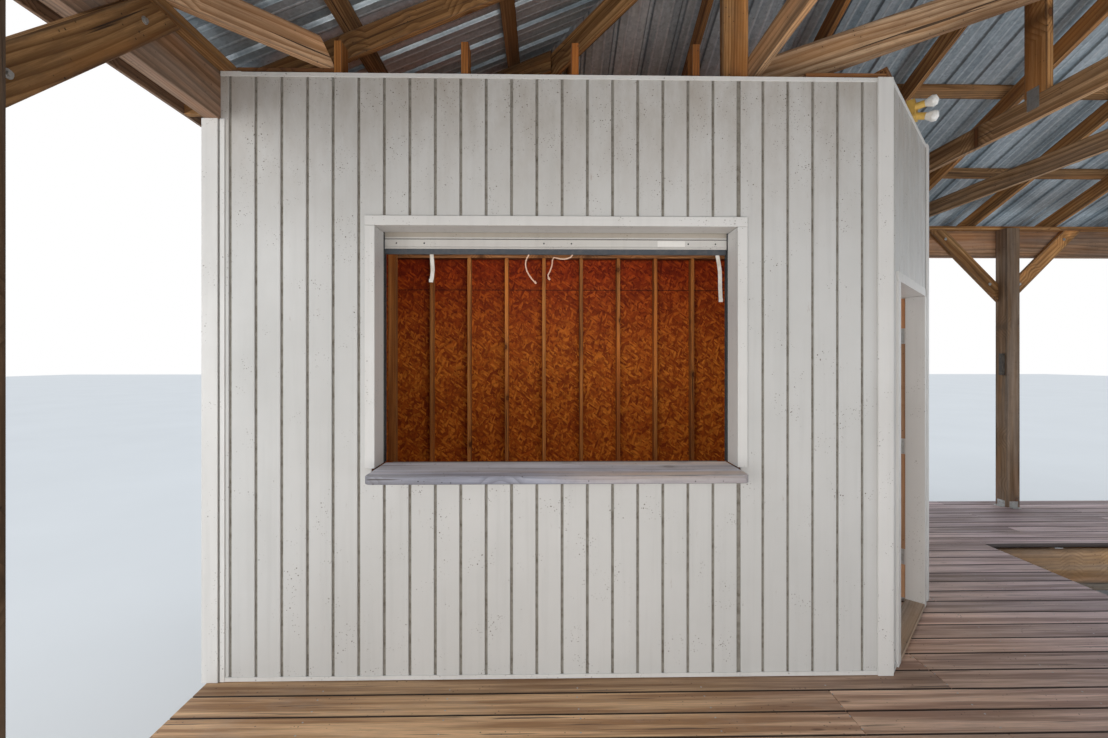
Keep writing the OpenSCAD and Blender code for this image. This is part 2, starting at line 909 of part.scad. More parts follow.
module wall_studs() {
    yb = room_back - skin_t - stud_d / 2;
    xl = room_left + skin_t + stud_d / 2;
    xr = room_right - skin_t - stud_d / 2;
    back_n = [for (k = [-4 : 5]) if (back_stud_x + k * stud_pitch < room_right - wall_t - stud_w) k];
    color("#b07a45") {
        for (k = back_n)
            stud_box(back_stud_x + k * stud_pitch, yb, stud_w, stud_d, stud_low, beam_top - long_beam_d - board_w);
        front_studs(room_front + skin_t + stud_d / 2);
        for (y = [room_front + wall_t + stud_off : stud_pitch : room_back - wall_t - row_end]) {
            stud_box(xl, y, stud_d, stud_w, stud_low, beam_top - side_beam_d - board_w);
            if (y > room_front + corner_cut + 2 * row_end)
                stud_box(xr, y, stud_d, stud_w, stud_low, beam_top - long_beam_d);
        }
        on_angle() {
            sa = door_a - frame_t - fit;
            sb = door_b + frame_t + fit;
            box([sa - stud_w, skin_t, stud_low], [sa, wall_t, beam_top]);
            box([sb, skin_t, stud_low], [sb + stud_w, wall_t, beam_top]);
        }
    }
}

// a plate of the front wall that is mitred at the cut-off corner
module corner_plate(x0, z0, t) {
    y0 = room_front + skin_t;
    y1 = room_front + wall_t;
    translate([0, 0, z0])
        linear_extrude(t)
            polygon([[x0, y0], [corner_x - corner_k * skin_t - joint, y0],
                [corner_x - corner_k * wall_t - joint, y1], [x0, y1]]);
}

module wall_plates() {
    y0 = room_front + skin_t;
    y1 = room_front + wall_t;
    yb = room_back - wall_t;
    xl = room_left + skin_t;
    xr = room_right - skin_t;
    y_cut = room_front + corner_cut + corner_k * wall_t + joint;
    low_beam = beam_top - side_beam_d;
    // the level pieces between the tall studs, under the wall's top
    stops = concat(brace_stud_x, tall_stud_x, right_stud_x);
    color("#a6733f") {
        corner_plate(xl, deck_top, board_w);
        box([xl, yb, deck_top], [xr, room_back - skin_t, stud_low]);
        box([xl, y1 + joint, deck_top], [xl + stud_d, yb - joint, stud_low]);
        box([xr - stud_d, y_cut, deck_top], [xr, yb - joint, stud_low]);
        box([room_left + plate_w + joint, y0, beam_top], [brace_stud_x - stud_w / 2, y1, plate_top]);
        for (i = [0 : len(stops) - 2])
            box([stops[i] + stud_w / 2, y0, beam_top - board_w], [stops[i + 1] - stud_w / 2, y1, beam_top]);
        corner_plate(right_stud_x - stud_w / 2, beam_top, board_w);
        box([xr - stud_d, y_cut, beam_top], [xr, half_y - plate_w - joint, plate_top]);
        box([xl, yb, beam_top - long_beam_d - board_w], [xr, room_back - skin_t, beam_top - long_beam_d]);
        box([xl, y1 + joint, low_beam - board_w], [xl + stud_d, yb - joint, low_beam]);
        box([rough_left, y0, sill_z - frame_t - board_w], [rough_right, y1, sill_z - frame_t]);
        box([rough_left, y0, rough_head], [rough_right, y1, rough_head + board_w]);
        on_angle() {
            translate([0, 0, beam_top])
                linear_extrude(2 * board_w)
                    polygon([[corner_k * skin_t + joint, skin_t],
                        [angle_len - corner_k * skin_t - joint, skin_t],
                        [angle_len - corner_k * wall_t - joint, wall_t], [corner_k * wall_t + joint, wall_t]]);
            box([door_a - frame_t, skin_t, head_z + frame_t],
                [door_b + frame_t, wall_t, head_z + frame_t + board_w]);
        }
    }
}

module corner_boards() {
    low = deck_top;
    z1 = beam_top - side_beam_d;
    color("#e4e2dc") {
        box([room_left - trim_t, room_front - trim_t, low], [room_left - trim_t + trim_w, room_front, z1]);
        box([room_left - trim_t, room_back - trim_w, low], [room_left, room_back, z1]);
        box([corner_x - trim_w, room_front - trim_t, low], [corner_x, room_front, beam_top]);
        on_angle()
            box([angle_len - narrow_w, -trim_t, low], [angle_len, 0, beam_top]);
    }
}

// Serving window

module window_frame() {
    y0 = room_front - casing_t;
    y1 = y0 + frame_depth;
    z0 = sill_z + counter_t;
    z1 = deck_top + window_head_h;
    side = window_w / 2;
    color("#dedbd3") {
        for (turn = [0, 1])
            translate([window_x, 0, 0])
                mirror([turn, 0, 0])
                    translate([side, 0, z0])
                        linear_extrude(z1 - z0)
                            polygon([[0, y0], [casing_w, y0], [casing_w, room_front],
                                [frame_t, room_front], [frame_t, y1], [0, y1]]);
        translate([window_x, 0, 0]) {
            box([-side - casing_w, y0, z1 + joint], [side + casing_w, room_front, z1 + casing_w]);
            box([-side - frame_t, room_front, z1 + joint], [side + frame_t, y1, z1 + frame_t]);
        }
    }
}

rail_y = room_front - casing_t + frame_depth;
// how far the guide rails stand into the opening, and their width and wall
rail_in = 5;
rail_w = 50;
rail_wall = 4;
bar_play = 2;
bar_y = rail_y + rail_wall + bar_play;
rail_depth = bar_t + 2 * rail_wall + 2 * bar_play;
// how far the bar and the curtain reach into the rails past the opening
bar_reach = 20;
slot_reach = 30;
// how far the bar's top stands below the opening's head, and the roll above it
bar_drop = 21;
roll_rise = 50;
roll_shaft_r = 20;
bar_z = deck_top + window_head_h - bar_drop;
roll_y = bar_y + bar_t / 2 + roll_r;
roll_z = deck_top + window_head_h + roll_rise + roll_r;
curtain_t = 8;
bracket_t = 6;

module shutter_roll() {
    x = window_w / 2 + bar_reach;
    y = bar_y + bar_t / 2;
    color("#d5d3cd")
        translate([window_x, 0, 0]) {
            slab_x(-x, x)
                translate([roll_y, roll_z])
                    circle(r = roll_r);
            slab_x(-window_w / 2 - slot_reach, window_w / 2 + slot_reach)
                translate([roll_y, roll_z])
                    circle(r = roll_shaft_r);
            box([-x, y - curtain_t / 2, bar_z], [x, y + curtain_t / 2, roll_z]);
        }
}

module shutter_bar() {
    x = window_w / 2 + bar_reach;
    color("#d8d6d0")
        translate([window_x, bar_y, bar_z - bar_h])
            box([-x, 0, 0], [x, bar_t, bar_h]);
}

seal_z = bar_z - bar_h - seal_h;

// a soft strip under the bar
module shutter_seal() {
    x = window_w / 2 - rail_in - joint;
    color("#4d565e")
        translate([window_x, bar_y + (bar_t - seal_t) / 2, seal_z])
            box([-x, 0, 0], [x, seal_t, seal_h]);
}

// routes of what hangs from the seal: X from the window's middle, and Z from the seal's underside
strap_left_route = [[-661, 0], [-658, -42], [-655, -83], [-659, -118], [-664, -147]];
strap_right_route = [[858, 0], [866, -42], [872, -84], [873, -126], [873, -168], [875, -208], [877, -248]];
rope_left_route = [[-147, 0], [-157, -18], [-163, -34], [-165, -50], [-163, -68], [-157, -88], [-146, -108],
    [-133, -127], [-115, -147]];
rope_right_route = [[85, 0], [74, -14], [58, -20], [40, -23], [20, -22], [2, -18], [-14, -15], [-22, -28],
    [-23, -46], [-27, -65], [-35, -87], [-46, -108], [-42, -127]];
cord_sides = 8;

function unit(v) = v / norm(v);

// which way a route runs at its point i: it leaves the seal straight down
function route_dir(r, i) = i == 0 ? [0, -1] : unit(r[min(i + 1, len(r) - 1)] - r[i - 1]);

// point k of the ring round route point i, with half-width a across and half-thickness b
function ring_point(r, i, k, a, b) =
    let (t = route_dir(r, i), turn = 360 * k / cord_sides)
    [r[i][0] + a * cos(turn) * t[1], b * sin(turn), r[i][1] - a * cos(turn) * t[0]];

// the two triangles between rings i and i + 1, from side k to the next
function side_faces(i, k) =
    let (m = cord_sides, a = i * m + k, b = i * m + (k + 1) % m)
    [[a, a + m, b + m], [a, b + m, b]];

// a limp piece that hangs along a route, as one closed skin
module hung(r, a, b) {
    last = len(r) - 1;
    translate([window_x, bar_y + bar_t / 2, seal_z])
        polyhedron(
            points = [for (i = [0 : last]) for (k = [0 : cord_sides - 1]) ring_point(r, i, k, a, b)],
            faces = concat(
                [for (i = [0 : last - 1]) for (k = [0 : cord_sides - 1]) for (f = side_faces(i, k)) f],
                [[for (k = [0 : cord_sides - 1]) k]],
                [[for (k = [cord_sides - 1 : -1 : 0]) last * cord_sides + k]]));
}

module strap_left() {
    color("#e3dcd6")
        hung(strap_left_route, strap_w / 2, strap_t / 2);
}

module strap_right() {
    color("#e3dcd6")
        hung(strap_right_route, strap_w / 2, strap_t / 2);
}

module rope_left() {
    color("#d9a98c")
        hung(rope_left_route, rope_dia / 2, rope_dia / 2);
}

module rope_right() {
    color("#d9a98c")
        hung(rope_right_route, rope_dia / 2, rope_dia / 2);
}

module shutter_rails() {
    z0 = sill_z + counter_t;
    z1 = roll_z - roll_r;
    x0 = window_w / 2 - rail_in;
    x1 = window_w / 2 + slot_reach;
    y1 = rail_y + rail_depth;
    color("#3b3e42")
        for (turn = [0, 1])
            translate([window_x, 0, 0])
                mirror([turn, 0, 0]) {
                    translate([0, 0, z0])
                        linear_extrude(z1 - z0)
                            polygon([[x0, rail_y], [x0 + rail_w, rail_y], [x0 + rail_w, y1], [x0, y1],
                                [x0, y1 - rail_wall], [x1, y1 - rail_wall], [x1, rail_y + rail_wall],
                                [x0, rail_y + rail_wall]]);
                    box([x1, rail_y, z1 - roll_r], [x1 + bracket_t, y1, roll_z]);
                    box([x1, rail_y, z1], [x1 + bracket_t, roll_y + roll_r / 2, roll_z + roll_r / 2]);
                }
}

// the counter's play in the opening
counter_play = 6;

module counter() {
    x0 = window_left + counter_play;
    x1 = window_right - counter_play;
    y0 = room_front - counter_out;
    y1 = room_front + counter_in;
    color("#8f8f93")
        translate([0, 0, sill_z])
            linear_extrude(counter_t) {
                polygon([[x0, y0 + counter_r], [x0 + counter_r, y0 + counter_r], [x0 + counter_r, y0],
                    [x1 - counter_r, y0], [x1 - counter_r, y0 + counter_r], [x1, y0 + counter_r],
                    [x1, y1], [x0, y1]]);
                for (x = [x0 + counter_r, x1 - counter_r])
                    translate([x, y0 + counter_r])
                        circle(r = counter_r);
            }
}

module inner_shelf() {
    color("#8a6a4e")
        box([rough_left, room_front + skin_t, sill_z - frame_t], [rough_right, room_front + shelf_in, sill_z]);
}

// Door in the cut-off corner

pin_s = door_b - leaf_gap / 2;
pin_n = frame_in + joint + knuckle_r;
leaf_low = deck_top + sill_t + sill_gap;
leaf_high = head_z - leaf_gap;
hinge_z = [for (h = [low_hinge_h, mid_hinge_h, top_hinge_h]) deck_top + h];
// where the hinge plates start across the jamb, their thickness, and their play in the recess
plate_n = 100;
plate_t = 2;
plate_play = 0.3;

// jamb or head section, from the siding's face to the rabbet's inner edge, stop included
module jamb_plan(s, dir) {
    y0 = -casing_t;
    translate([s, 0])
        mirror([dir < 0 ? 1 : 0, 0])
            polygon([[0, frame_in], [0, leaf_in - 2], [-stop_t, leaf_in - 2], [-stop_t, y0], [casing_w, y0],
                [casing_w, 0], [frame_t, 0], [frame_t, frame_in]]);
}

// the recess in jamb or leaf for one hinge plate, from s0 to s1
module hinge_recess(s0, s1, z) {
    half = hinge_h / 2 + plate_play;
    box([s0, plate_n, z - half], [s1, frame_in + 1, z + half]);
}

module door_frame() {
    color("#e2e0d9")
        on_angle() {
            difference() {
                translate([0, 0, deck_top])
                    linear_extrude(door_head_h)
                        intersection() {
                            union() {
                                jamb_plan(door_a, -1);
                                jamb_plan(door_b, 1);
                            }
                            translate([joint, -casing_t])
                                square([angle_len - narrow_w - 2 * joint, frame_in + casing_t]);
                        }
                for (z = hinge_z)
                    hinge_recess(door_b - 1, door_b + plate_t, z);
            }
            box([door_a - casing_w, -casing_t, head_z + joint], [door_b + frame_t, 0, head_z + casing_w]);
            box([door_a - frame_t, 0, head_z + joint], [door_b + frame_t, frame_in, head_z + frame_t]);
        }
}

module threshold() {
    color("#8b8074")
        on_angle()
            box([door_a + stop_t, -casing_t, deck_top], [door_b - stop_t, leaf_in - 2, deck_top + sill_t]);
}

// play of a hinge's bore round its pin
pin_play = 0.05;

// everything that turns with the leaf is drawn shut and then turned about the pin
module swung() {
    on_angle()
        translate([pin_s, pin_n, 0])
            rotate([0, 0, -open_angle])
                translate([-pin_s, -pin_n, 0])
                    children();
}

module door_leaf() {
    s1 = door_b - leaf_gap;
    s0 = s1 - leaf_w;
    color("#d8d2c6")
        swung()
            difference() {
                box([s0, leaf_in, leaf_low], [s1, frame_in, leaf_high]);
                for (z = hinge_z)
                    hinge_recess(s1 - plate_t, s1 + 1, z);
            }
}

// a knuckle from z0 to z1 with its link to a plate
module knuckle(s_plate, z0, z1) {
    translate([pin_s, pin_n, z0])
        cylinder(r = knuckle_r, h = z1 - z0);
    box([min(s_plate, pin_s), frame_in - 1, z0], [max(s_plate, pin_s), pin_n, z1]);
}

module frame_hinges() {
    third = hinge_h / 3;
    color("#b7a574")
        on_angle()
            for (z = hinge_z) {
                box([door_b, plate_n + 1, z - hinge_h / 2], [door_b + plate_t, frame_in, z + hinge_h / 2]);
                knuckle(door_b + plate_t, z - hinge_h / 2, z - third / 2 - 0.5);
                knuckle(door_b + plate_t, z + third / 2 + 0.5, z + hinge_h / 2);
                translate([pin_s, pin_n, z - hinge_h / 2 + 1])
                    cylinder(r = pin_r, h = hinge_h - 2);
            }
}

module leaf_hinges() {
    third = hinge_h / 3;
    s1 = door_b - leaf_gap;
    color("#b7a574")
        swung()
            for (z = hinge_z)
                difference() {
                    union() {
                        box([s1 - plate_t, plate_n + 1, z - hinge_h / 2], [s1, frame_in, z + hinge_h / 2]);
                        knuckle(s1 - plate_t, z - third / 2, z + third / 2);
                    }
                    translate([pin_s, pin_n, z - hinge_h])
                        cylinder(r = pin_r + pin_play, h = 2 * hinge_h);
                }
}

// knobs of the leaf: distance from the leaf's edge, and the sizes of rose, shank and knob
knob_in = 70;
rose_r = 30;
rose_t = 6;
shank_r = 11;
shank_h = 40;
knob_r = 25;

module door_knobs() {
    s = door_b - leaf_gap - leaf_w + knob_in;
    color("#b9b2a0")
        swung()
            translate([s, 0, deck_top + knob_h])
                for (side = [0, 1])
                    translate([0, side == 0 ? leaf_in : frame_in, 0])
                        rotate([side == 0 ? 90 : -90, 0, 0]) {
                            cylinder(r = rose_r, h = rose_t);
                            cylinder(r = shank_r, h = shank_h);
                            translate([0, 0, shank_h + rose_t])
                                sphere(r = knob_r);
                        }
}

// Fittings

// the flood light's holder sits on the siding's top against the wall's doubled plate
light_w = 110;
light_out = 40;
light_h = 98;
socket_r = 20;
socket_h = 45;
// sideways place, height from the holder's middle, and downward tilt of each of the two arms
light_arms = [[-22, 12, -4], [22, -28, 18]];
// a bulb's measures as shares of its diameter: neck's radius, length to the widest, and the dome's
// rim, which stands out as far again as its radius says
bulb_neck = 0.28;
bulb_wide = 0.55;
bulb_rim = 0.42;

// turns its children so that they point out from the holder's front
module light_arm(arm) {
    on_angle()
        translate([light_s + arm[0], skin_t - light_out, beam_top + light_h / 2 + arm[1]])
            rotate([90 + arm[2], 0, 0])
                children();
}

module flood_light() {
    color("#d9b45a") {
        on_angle()
            translate([light_s, skin_t, beam_top])
                box([-light_w / 2, -light_out, 0], [light_w / 2, 0, light_h]);
        for (arm = light_arms)
            light_arm(arm)
                translate([0, 0, -board_w / 2])
                    cylinder(r = socket_r, h = socket_h + board_w / 2);
    }
}

// two reflector bulbs: a cone that widens from the socket to a domed face
module light_bulbs() {
    color("#eeeeea")
        for (arm = light_arms)
            light_arm(arm)
                translate([0, 0, socket_h])
                    rotate_extrude()
                        polygon([[0, 0], [bulb_dia * bulb_neck, 0], [bulb_dia / 2, bulb_dia * bulb_wide],
                            [bulb_dia * bulb_rim, 2 * bulb_dia * bulb_rim], [0, bulb_dia]]);
}

module post_box() {
    x = far_post_x - post_w / 2;
    z = deck_top + post_box_z;
    color("#4a4640")
        box([x - post_box_out, post_in_y - post_box_w, z], [x, post_in_y, z + post_box_h]);
}

piles();
pile_caps();
joists();
rim_joists();
deck_main();
deck_far_walk();
deck_right_walk();
posts();
side_beams();
long_beams();
knee_braces();
beam_plates();
hip_rafters();
ridge_board();
common_rafters();
jack_rafters();
roof_ties();
tie_struts();
roof_braces();
purlins();
roof_far();
roof_near();
roof_left();
roof_right();
roof_caps();
fascia();
front_wall_left();
front_wall_right();
front_wall_over();
front_wall_under();
angle_wall_near();
angle_wall_far();
angle_wall_over();
right_wall();
back_wall();
left_wall();
wall_studs();
wall_plates();
corner_boards();
window_frame();
shutter_roll();
shutter_bar();
shutter_seal();
shutter_rails();
strap_left();
strap_right();
rope_left();
rope_right();
counter();
inner_shelf();
door_frame();
threshold();
door_leaf();
frame_hinges();
leaf_hinges();
door_knobs();
flood_light();
light_bulbs();
post_box();
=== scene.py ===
# %% [markdown]
# An open boathouse on piles: a timber frame under a hip roof of ribbed metal sheets, a deck round
# one slip, and a white store room with a serving window and a door in its cut-off corner.
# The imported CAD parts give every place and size. This script gives them their looks and adds the
# small pieces that a CAD part leaves out: separate boards, screws, plates, channels and straps.

# %% Tools
import math
import random
import bpy
from mathutils import Matrix, Vector
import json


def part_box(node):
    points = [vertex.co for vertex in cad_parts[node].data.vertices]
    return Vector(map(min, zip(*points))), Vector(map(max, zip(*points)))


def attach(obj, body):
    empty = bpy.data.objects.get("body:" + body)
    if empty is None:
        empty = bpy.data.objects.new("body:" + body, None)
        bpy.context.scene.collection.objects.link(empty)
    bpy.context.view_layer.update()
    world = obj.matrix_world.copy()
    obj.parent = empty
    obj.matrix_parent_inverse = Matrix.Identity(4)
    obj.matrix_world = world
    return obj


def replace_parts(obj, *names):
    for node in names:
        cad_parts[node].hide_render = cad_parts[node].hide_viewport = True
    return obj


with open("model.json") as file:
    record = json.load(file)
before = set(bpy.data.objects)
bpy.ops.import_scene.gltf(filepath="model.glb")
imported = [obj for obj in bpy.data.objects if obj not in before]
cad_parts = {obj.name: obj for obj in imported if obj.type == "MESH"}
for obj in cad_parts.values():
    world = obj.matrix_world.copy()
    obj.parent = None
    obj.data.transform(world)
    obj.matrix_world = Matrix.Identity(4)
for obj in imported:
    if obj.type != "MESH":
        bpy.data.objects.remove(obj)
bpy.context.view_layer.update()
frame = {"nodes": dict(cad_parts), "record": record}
nodes = frame["nodes"]
rnd = random.Random(7)

# %% [markdown]
# The camera first, at the photograph's angle: a wide lens at a standing person's eye height, level,
# square to the room's front. The picture is 1108 by 738.

# %% Camera
PICTURE_W = 1108
FOCAL_PX = 496
HORIZON_PX = 360
cam_data = bpy.data.cameras.new("camera")
cam_data.sensor_width = 36
cam_data.lens = FOCAL_PX / PICTURE_W * cam_data.sensor_width
cam_data.shift_y = (HORIZON_PX - 738 / 2) / PICTURE_W
cam_data.clip_start = 0.05
camera = bpy.data.objects.new("camera", cam_data)
camera.location = (-3.38, -1.45, 2.348)
camera.rotation_euler = (math.radians(90), 0, math.radians(-0.95))
bpy.context.scene.collection.objects.link(camera)
bpy.context.scene.camera = camera
bpy.context.scene.view_settings.view_transform = "Standard"

# %% [markdown]
# Small helpers for modelling. Each new piece starts as a primitive, gets its size and place, and
# is then worked on with the same operators that a person would use by hand.

# %% Helpers
DOOR_NODES = set(frame["record"]["behaviour"]["bodies"]["door"])


def pick(obj):
    bpy.ops.object.select_all(action="DESELECT")
    obj.select_set(True)
    bpy.context.view_layer.objects.active = obj


def apply_all(obj):
    pick(obj)
    bpy.ops.object.transform_apply(location=True, rotation=True, scale=True)
    return obj


def block(name, lo, hi, bevel=0.0):
    """A box between two corners, in metres, with a small bevel on all edges."""
    lo, hi = Vector(lo), Vector(hi)
    bpy.ops.mesh.primitive_cube_add(size=1, location=(lo + hi) / 2)
    obj = bpy.context.object
    obj.name = name
    obj.scale = hi - lo
    apply_all(obj)
    return bevelled(obj, bevel) if bevel else obj


def rod(name, start, end, radius, sides=12):
    """A round bar between two points."""
    start, end = Vector(start), Vector(end)
    bpy.ops.mesh.primitive_cylinder_add(vertices=sides, radius=radius, depth=(end - start).length)
    obj = bpy.context.object
    obj.name = name
    turn = (end - start).to_track_quat("Z", "Y").to_matrix().to_4x4()
    obj.matrix_world = Matrix.Translation((start + end) / 2) @ turn
    return apply_all(obj)


def modify(obj, kind, **settings):
    """Adds one modifier and applies it."""
    pick(obj)
    mod = obj.modifiers.new(kind.lower(), kind)
    for key, value in settings.items():
        setattr(mod, key, value)
    bpy.ops.object.modifier_apply(modifier=mod.name)
    return obj


def bevelled(obj, width, segments=1):
    return modify(obj, "BEVEL", width=width, segments=segments, limit_method="ANGLE", angle_limit=0.6)


def joined(name, objs):
    """One object from several, with its own mesh."""
    bpy.ops.object.select_all(action="DESELECT")
    for obj in objs:
        obj.select_set(True)
    bpy.context.view_layer.objects.active = objs[0]
    if len(objs) > 1:
        bpy.ops.object.join()
    objs[0].name = name
    return objs[0]


def copies(name, source, places):
    """Joined copies of one finished shape, each moved by a vector or a matrix."""
    made = []
    for place in places:
        obj = source.copy()
        obj.data = source.data.copy()
        bpy.context.scene.collection.objects.link(obj)
        obj.data.transform(place if isinstance(place, Matrix) else Matrix.Translation(Vector(place)))
        made.append(obj)
    bpy.data.objects.remove(source)
    return joined(name, made)


def cut(obj, point, normal):
    """Cuts away what lies on the side that the normal points to, and closes the cut."""
    pick(obj)
    bpy.ops.object.mode_set(mode="EDIT")
    bpy.ops.mesh.select_all(action="SELECT")
    bpy.ops.mesh.bisect(plane_co=point, plane_no=normal, use_fill=True, clear_outer=True)
    bpy.ops.object.mode_set(mode="OBJECT")
    return obj


def finish(obj, material, body="building"):
    obj.data.materials.clear()
    obj.data.materials.append(material)
    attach(obj, body)
    return obj


def islands(mesh):
    """The loose parts of a mesh, as lists of vertex numbers."""
    near = [[] for _ in mesh.vertices]
    for edge in mesh.edges:
        a, b = edge.vertices
        near[a].append(b)
        near[b].append(a)
    seen = [False] * len(near)
    groups = []
    for first in range(len(near)):
        if seen[first]:
            continue
        seen[first] = True
        group = [first]
        for vert in group:
            for other in near[vert]:
                if not seen[other]:
                    seen[other] = True
                    group.append(other)
        groups.append(group)
    return groups


def add_grain(obj, along=None):
    """Writes where each point lies in its own board, X along the grain, a tint for each board, and
    how far out from the board's middle the point is, as a share of the board's half size."""
    mesh = obj.data
    mesh.attributes.new("grain", "FLOAT_VECTOR", "POINT")
    mesh.attributes.new("rim", "FLOAT_VECTOR", "POINT")
    mesh.attributes.new("tint", "FLOAT", "POINT")
    grain, rim, tint = (mesh.attributes[key] for key in ("grain", "rim", "tint"))
    longest = [(0.0, Vector((1, 0, 0)))] * len(mesh.vertices)
    for edge in mesh.edges:
        a, b = (mesh.vertices[i].co for i in edge.vertices)
        span = (b - a).length
        for i in edge.vertices:
            if span > longest[i][0]:
                longest[i] = (span, (b - a) / span)
    for group in islands(mesh):
        axis = Vector(along) if along else max((longest[i] for i in group), key=lambda pair: pair[0])[1]
        side = axis.cross(Vector((0, 0, 1)) if abs(axis.z) < 0.8 else Vector((0, 1, 0))).normalized()
        rise = axis.cross(side)
        start = Vector((rnd.uniform(0, 90), rnd.uniform(0, 90), rnd.uniform(0, 90)))
        shade = rnd.random()
        own = [Vector((co.dot(axis), co.dot(side), co.dot(rise))) for co in (mesh.vertices[i].co for i in group)]
        low = [min(v[k] for v in own) for k in range(3)]
        high = [max(v[k] for v in own) for k in range(3)]
        for i, v in zip(group, own):
            grain.data[i].vector = start + v
            rim.data[i].vector = [(2 * v[k] - low[k] - high[k]) / max(high[k] - low[k], 0.001) for k in range(3)]
            tint.data[i].value = shade
    return obj


def stand_in(node, bevel=0.0025):
    """A worked copy of a CAD node: merged, its flat faces joined up, and its edges eased."""
    source = nodes[node]
    obj = source.copy()
    obj.data = source.data.copy()
    obj.name = node + "_piece"
    obj.parent = None
    for key in list(obj.keys()):
        del obj[key]
    bpy.context.scene.collection.objects.link(obj)
    pick(obj)
    bpy.ops.object.mode_set(mode="EDIT")
    bpy.ops.mesh.select_all(action="SELECT")
    bpy.ops.mesh.remove_doubles(threshold=0.0001)
    bpy.ops.mesh.dissolve_limited(angle_limit=math.radians(1))
    bpy.ops.object.mode_set(mode="OBJECT")
    if bevel:
        bevelled(obj, bevel)
    return obj


def timber(node, material, bevel=0.0025):
    obj = add_grain(stand_in(node, bevel))
    finish(obj, material, "door" if node in DOOR_NODES else "building")
    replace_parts(obj, node)
    return obj

# %% [markdown]
# Materials. Each is a few noise patterns laid over each other at the scale of the real thing. The
# patterns of wood follow the board: they read the grain attribute that `add_grain` wrote.

# %% Materials


class Shader:
    """Short names for building one material's nodes."""

    def __init__(self, name):
        self.mat = bpy.data.materials.new(name)
        self.mat.use_nodes = True
        self.tree = self.mat.node_tree
        self.bsdf = self.tree.nodes["Principled BSDF"]
        self.place = self.tree.nodes.new("ShaderNodeTexCoord").outputs["Object"]

    def node(self, kind, inputs=(), **settings):
        made = self.tree.nodes.new("ShaderNode" + kind)
        for key, value in settings.items():
            setattr(made, key, value)
        for key, value in dict(inputs).items():
            self.put(made.inputs[key], value)
        return made

    def put(self, socket, value):
        if isinstance(value, bpy.types.NodeSocket):
            self.tree.links.new(value, socket)
        else:
            socket.default_value = value

    def attribute(self, name, output="Vector"):
        return self.node("Attribute", attribute_name=name).outputs[output]

    def scaled(self, vector, scale):
        return self.node("Mapping", {"Vector": vector, "Scale": scale}).outputs[0]

    def noise(self, vector, scale=1.0, detail=3.0, rough=0.55, output=0):
        made = self.node("TexNoise", {"Vector": vector, "Scale": scale, "Detail": detail, "Roughness": rough})
        return made.outputs[output]

    def cells(self, vector, scale=1.0, output="Distance", dimensions="3D"):
        made = self.node("TexVoronoi", {"Vector": vector, "Scale": scale}, voronoi_dimensions=dimensions)
        return made.outputs[output]

    def maths(self, operation, a, b=0.0, clamp=False):
        made = self.node("Math", {0: a, 1: b}, operation=operation)
        made.use_clamp = clamp
        return made.outputs[0]

    def band(self, value, low, high, to_low=0.0, to_high=1.0):
        """Value from low to high, stretched to to_low and to_high and held there outside."""
        made = self.node("MapRange", {0: value, 1: low, 2: high, 3: to_low, 4: to_high})
        return made.outputs[0]

    def ramp(self, value, *stops):
        made = self.node("ValToRGB", {"Fac": value})
        points = made.color_ramp.elements
        while len(points) < len(stops):
            points.new(0.5)
        for point, (at, colour) in zip(points, stops):
            point.position = at
            point.color = (*colour, 1)
        return made.outputs[0]

    def mix(self, factor, a, b, blend="MIX"):
        made = self.node("Mix", data_type="RGBA", blend_type=blend)
        self.put(made.inputs[0], factor)
        self.put(made.inputs[6], a if isinstance(a, bpy.types.NodeSocket) else (*a, 1))
        self.put(made.inputs[7], b if isinstance(b, bpy.types.NodeSocket) else (*b, 1))
        return made.outputs[2]

    def grey(self, value):
        return self.node("CombineColor", {0: value, 1: value, 2: value}).outputs[0]

    def split(self, vector):
        return self.node("SeparateXYZ", {0: vector}).outputs

    def done(self, colour, rough, bump=None, height=0.001, metal=0.0, specular=0.4):
        self.put(self.bsdf.inputs["Base Color"], colour)
        self.put(self.bsdf.inputs["Roughness"], rough)
        self.put(self.bsdf.inputs["Metallic"], metal)
        self.put(self.bsdf.inputs["Specular IOR Level"], specular)
        if bump is not None:
            made = self.node("Bump", {"Height": bump, "Distance": height, "Strength": 0.8})
            self.put(self.bsdf.inputs["Normal"], made.outputs[0])
        return self.mat


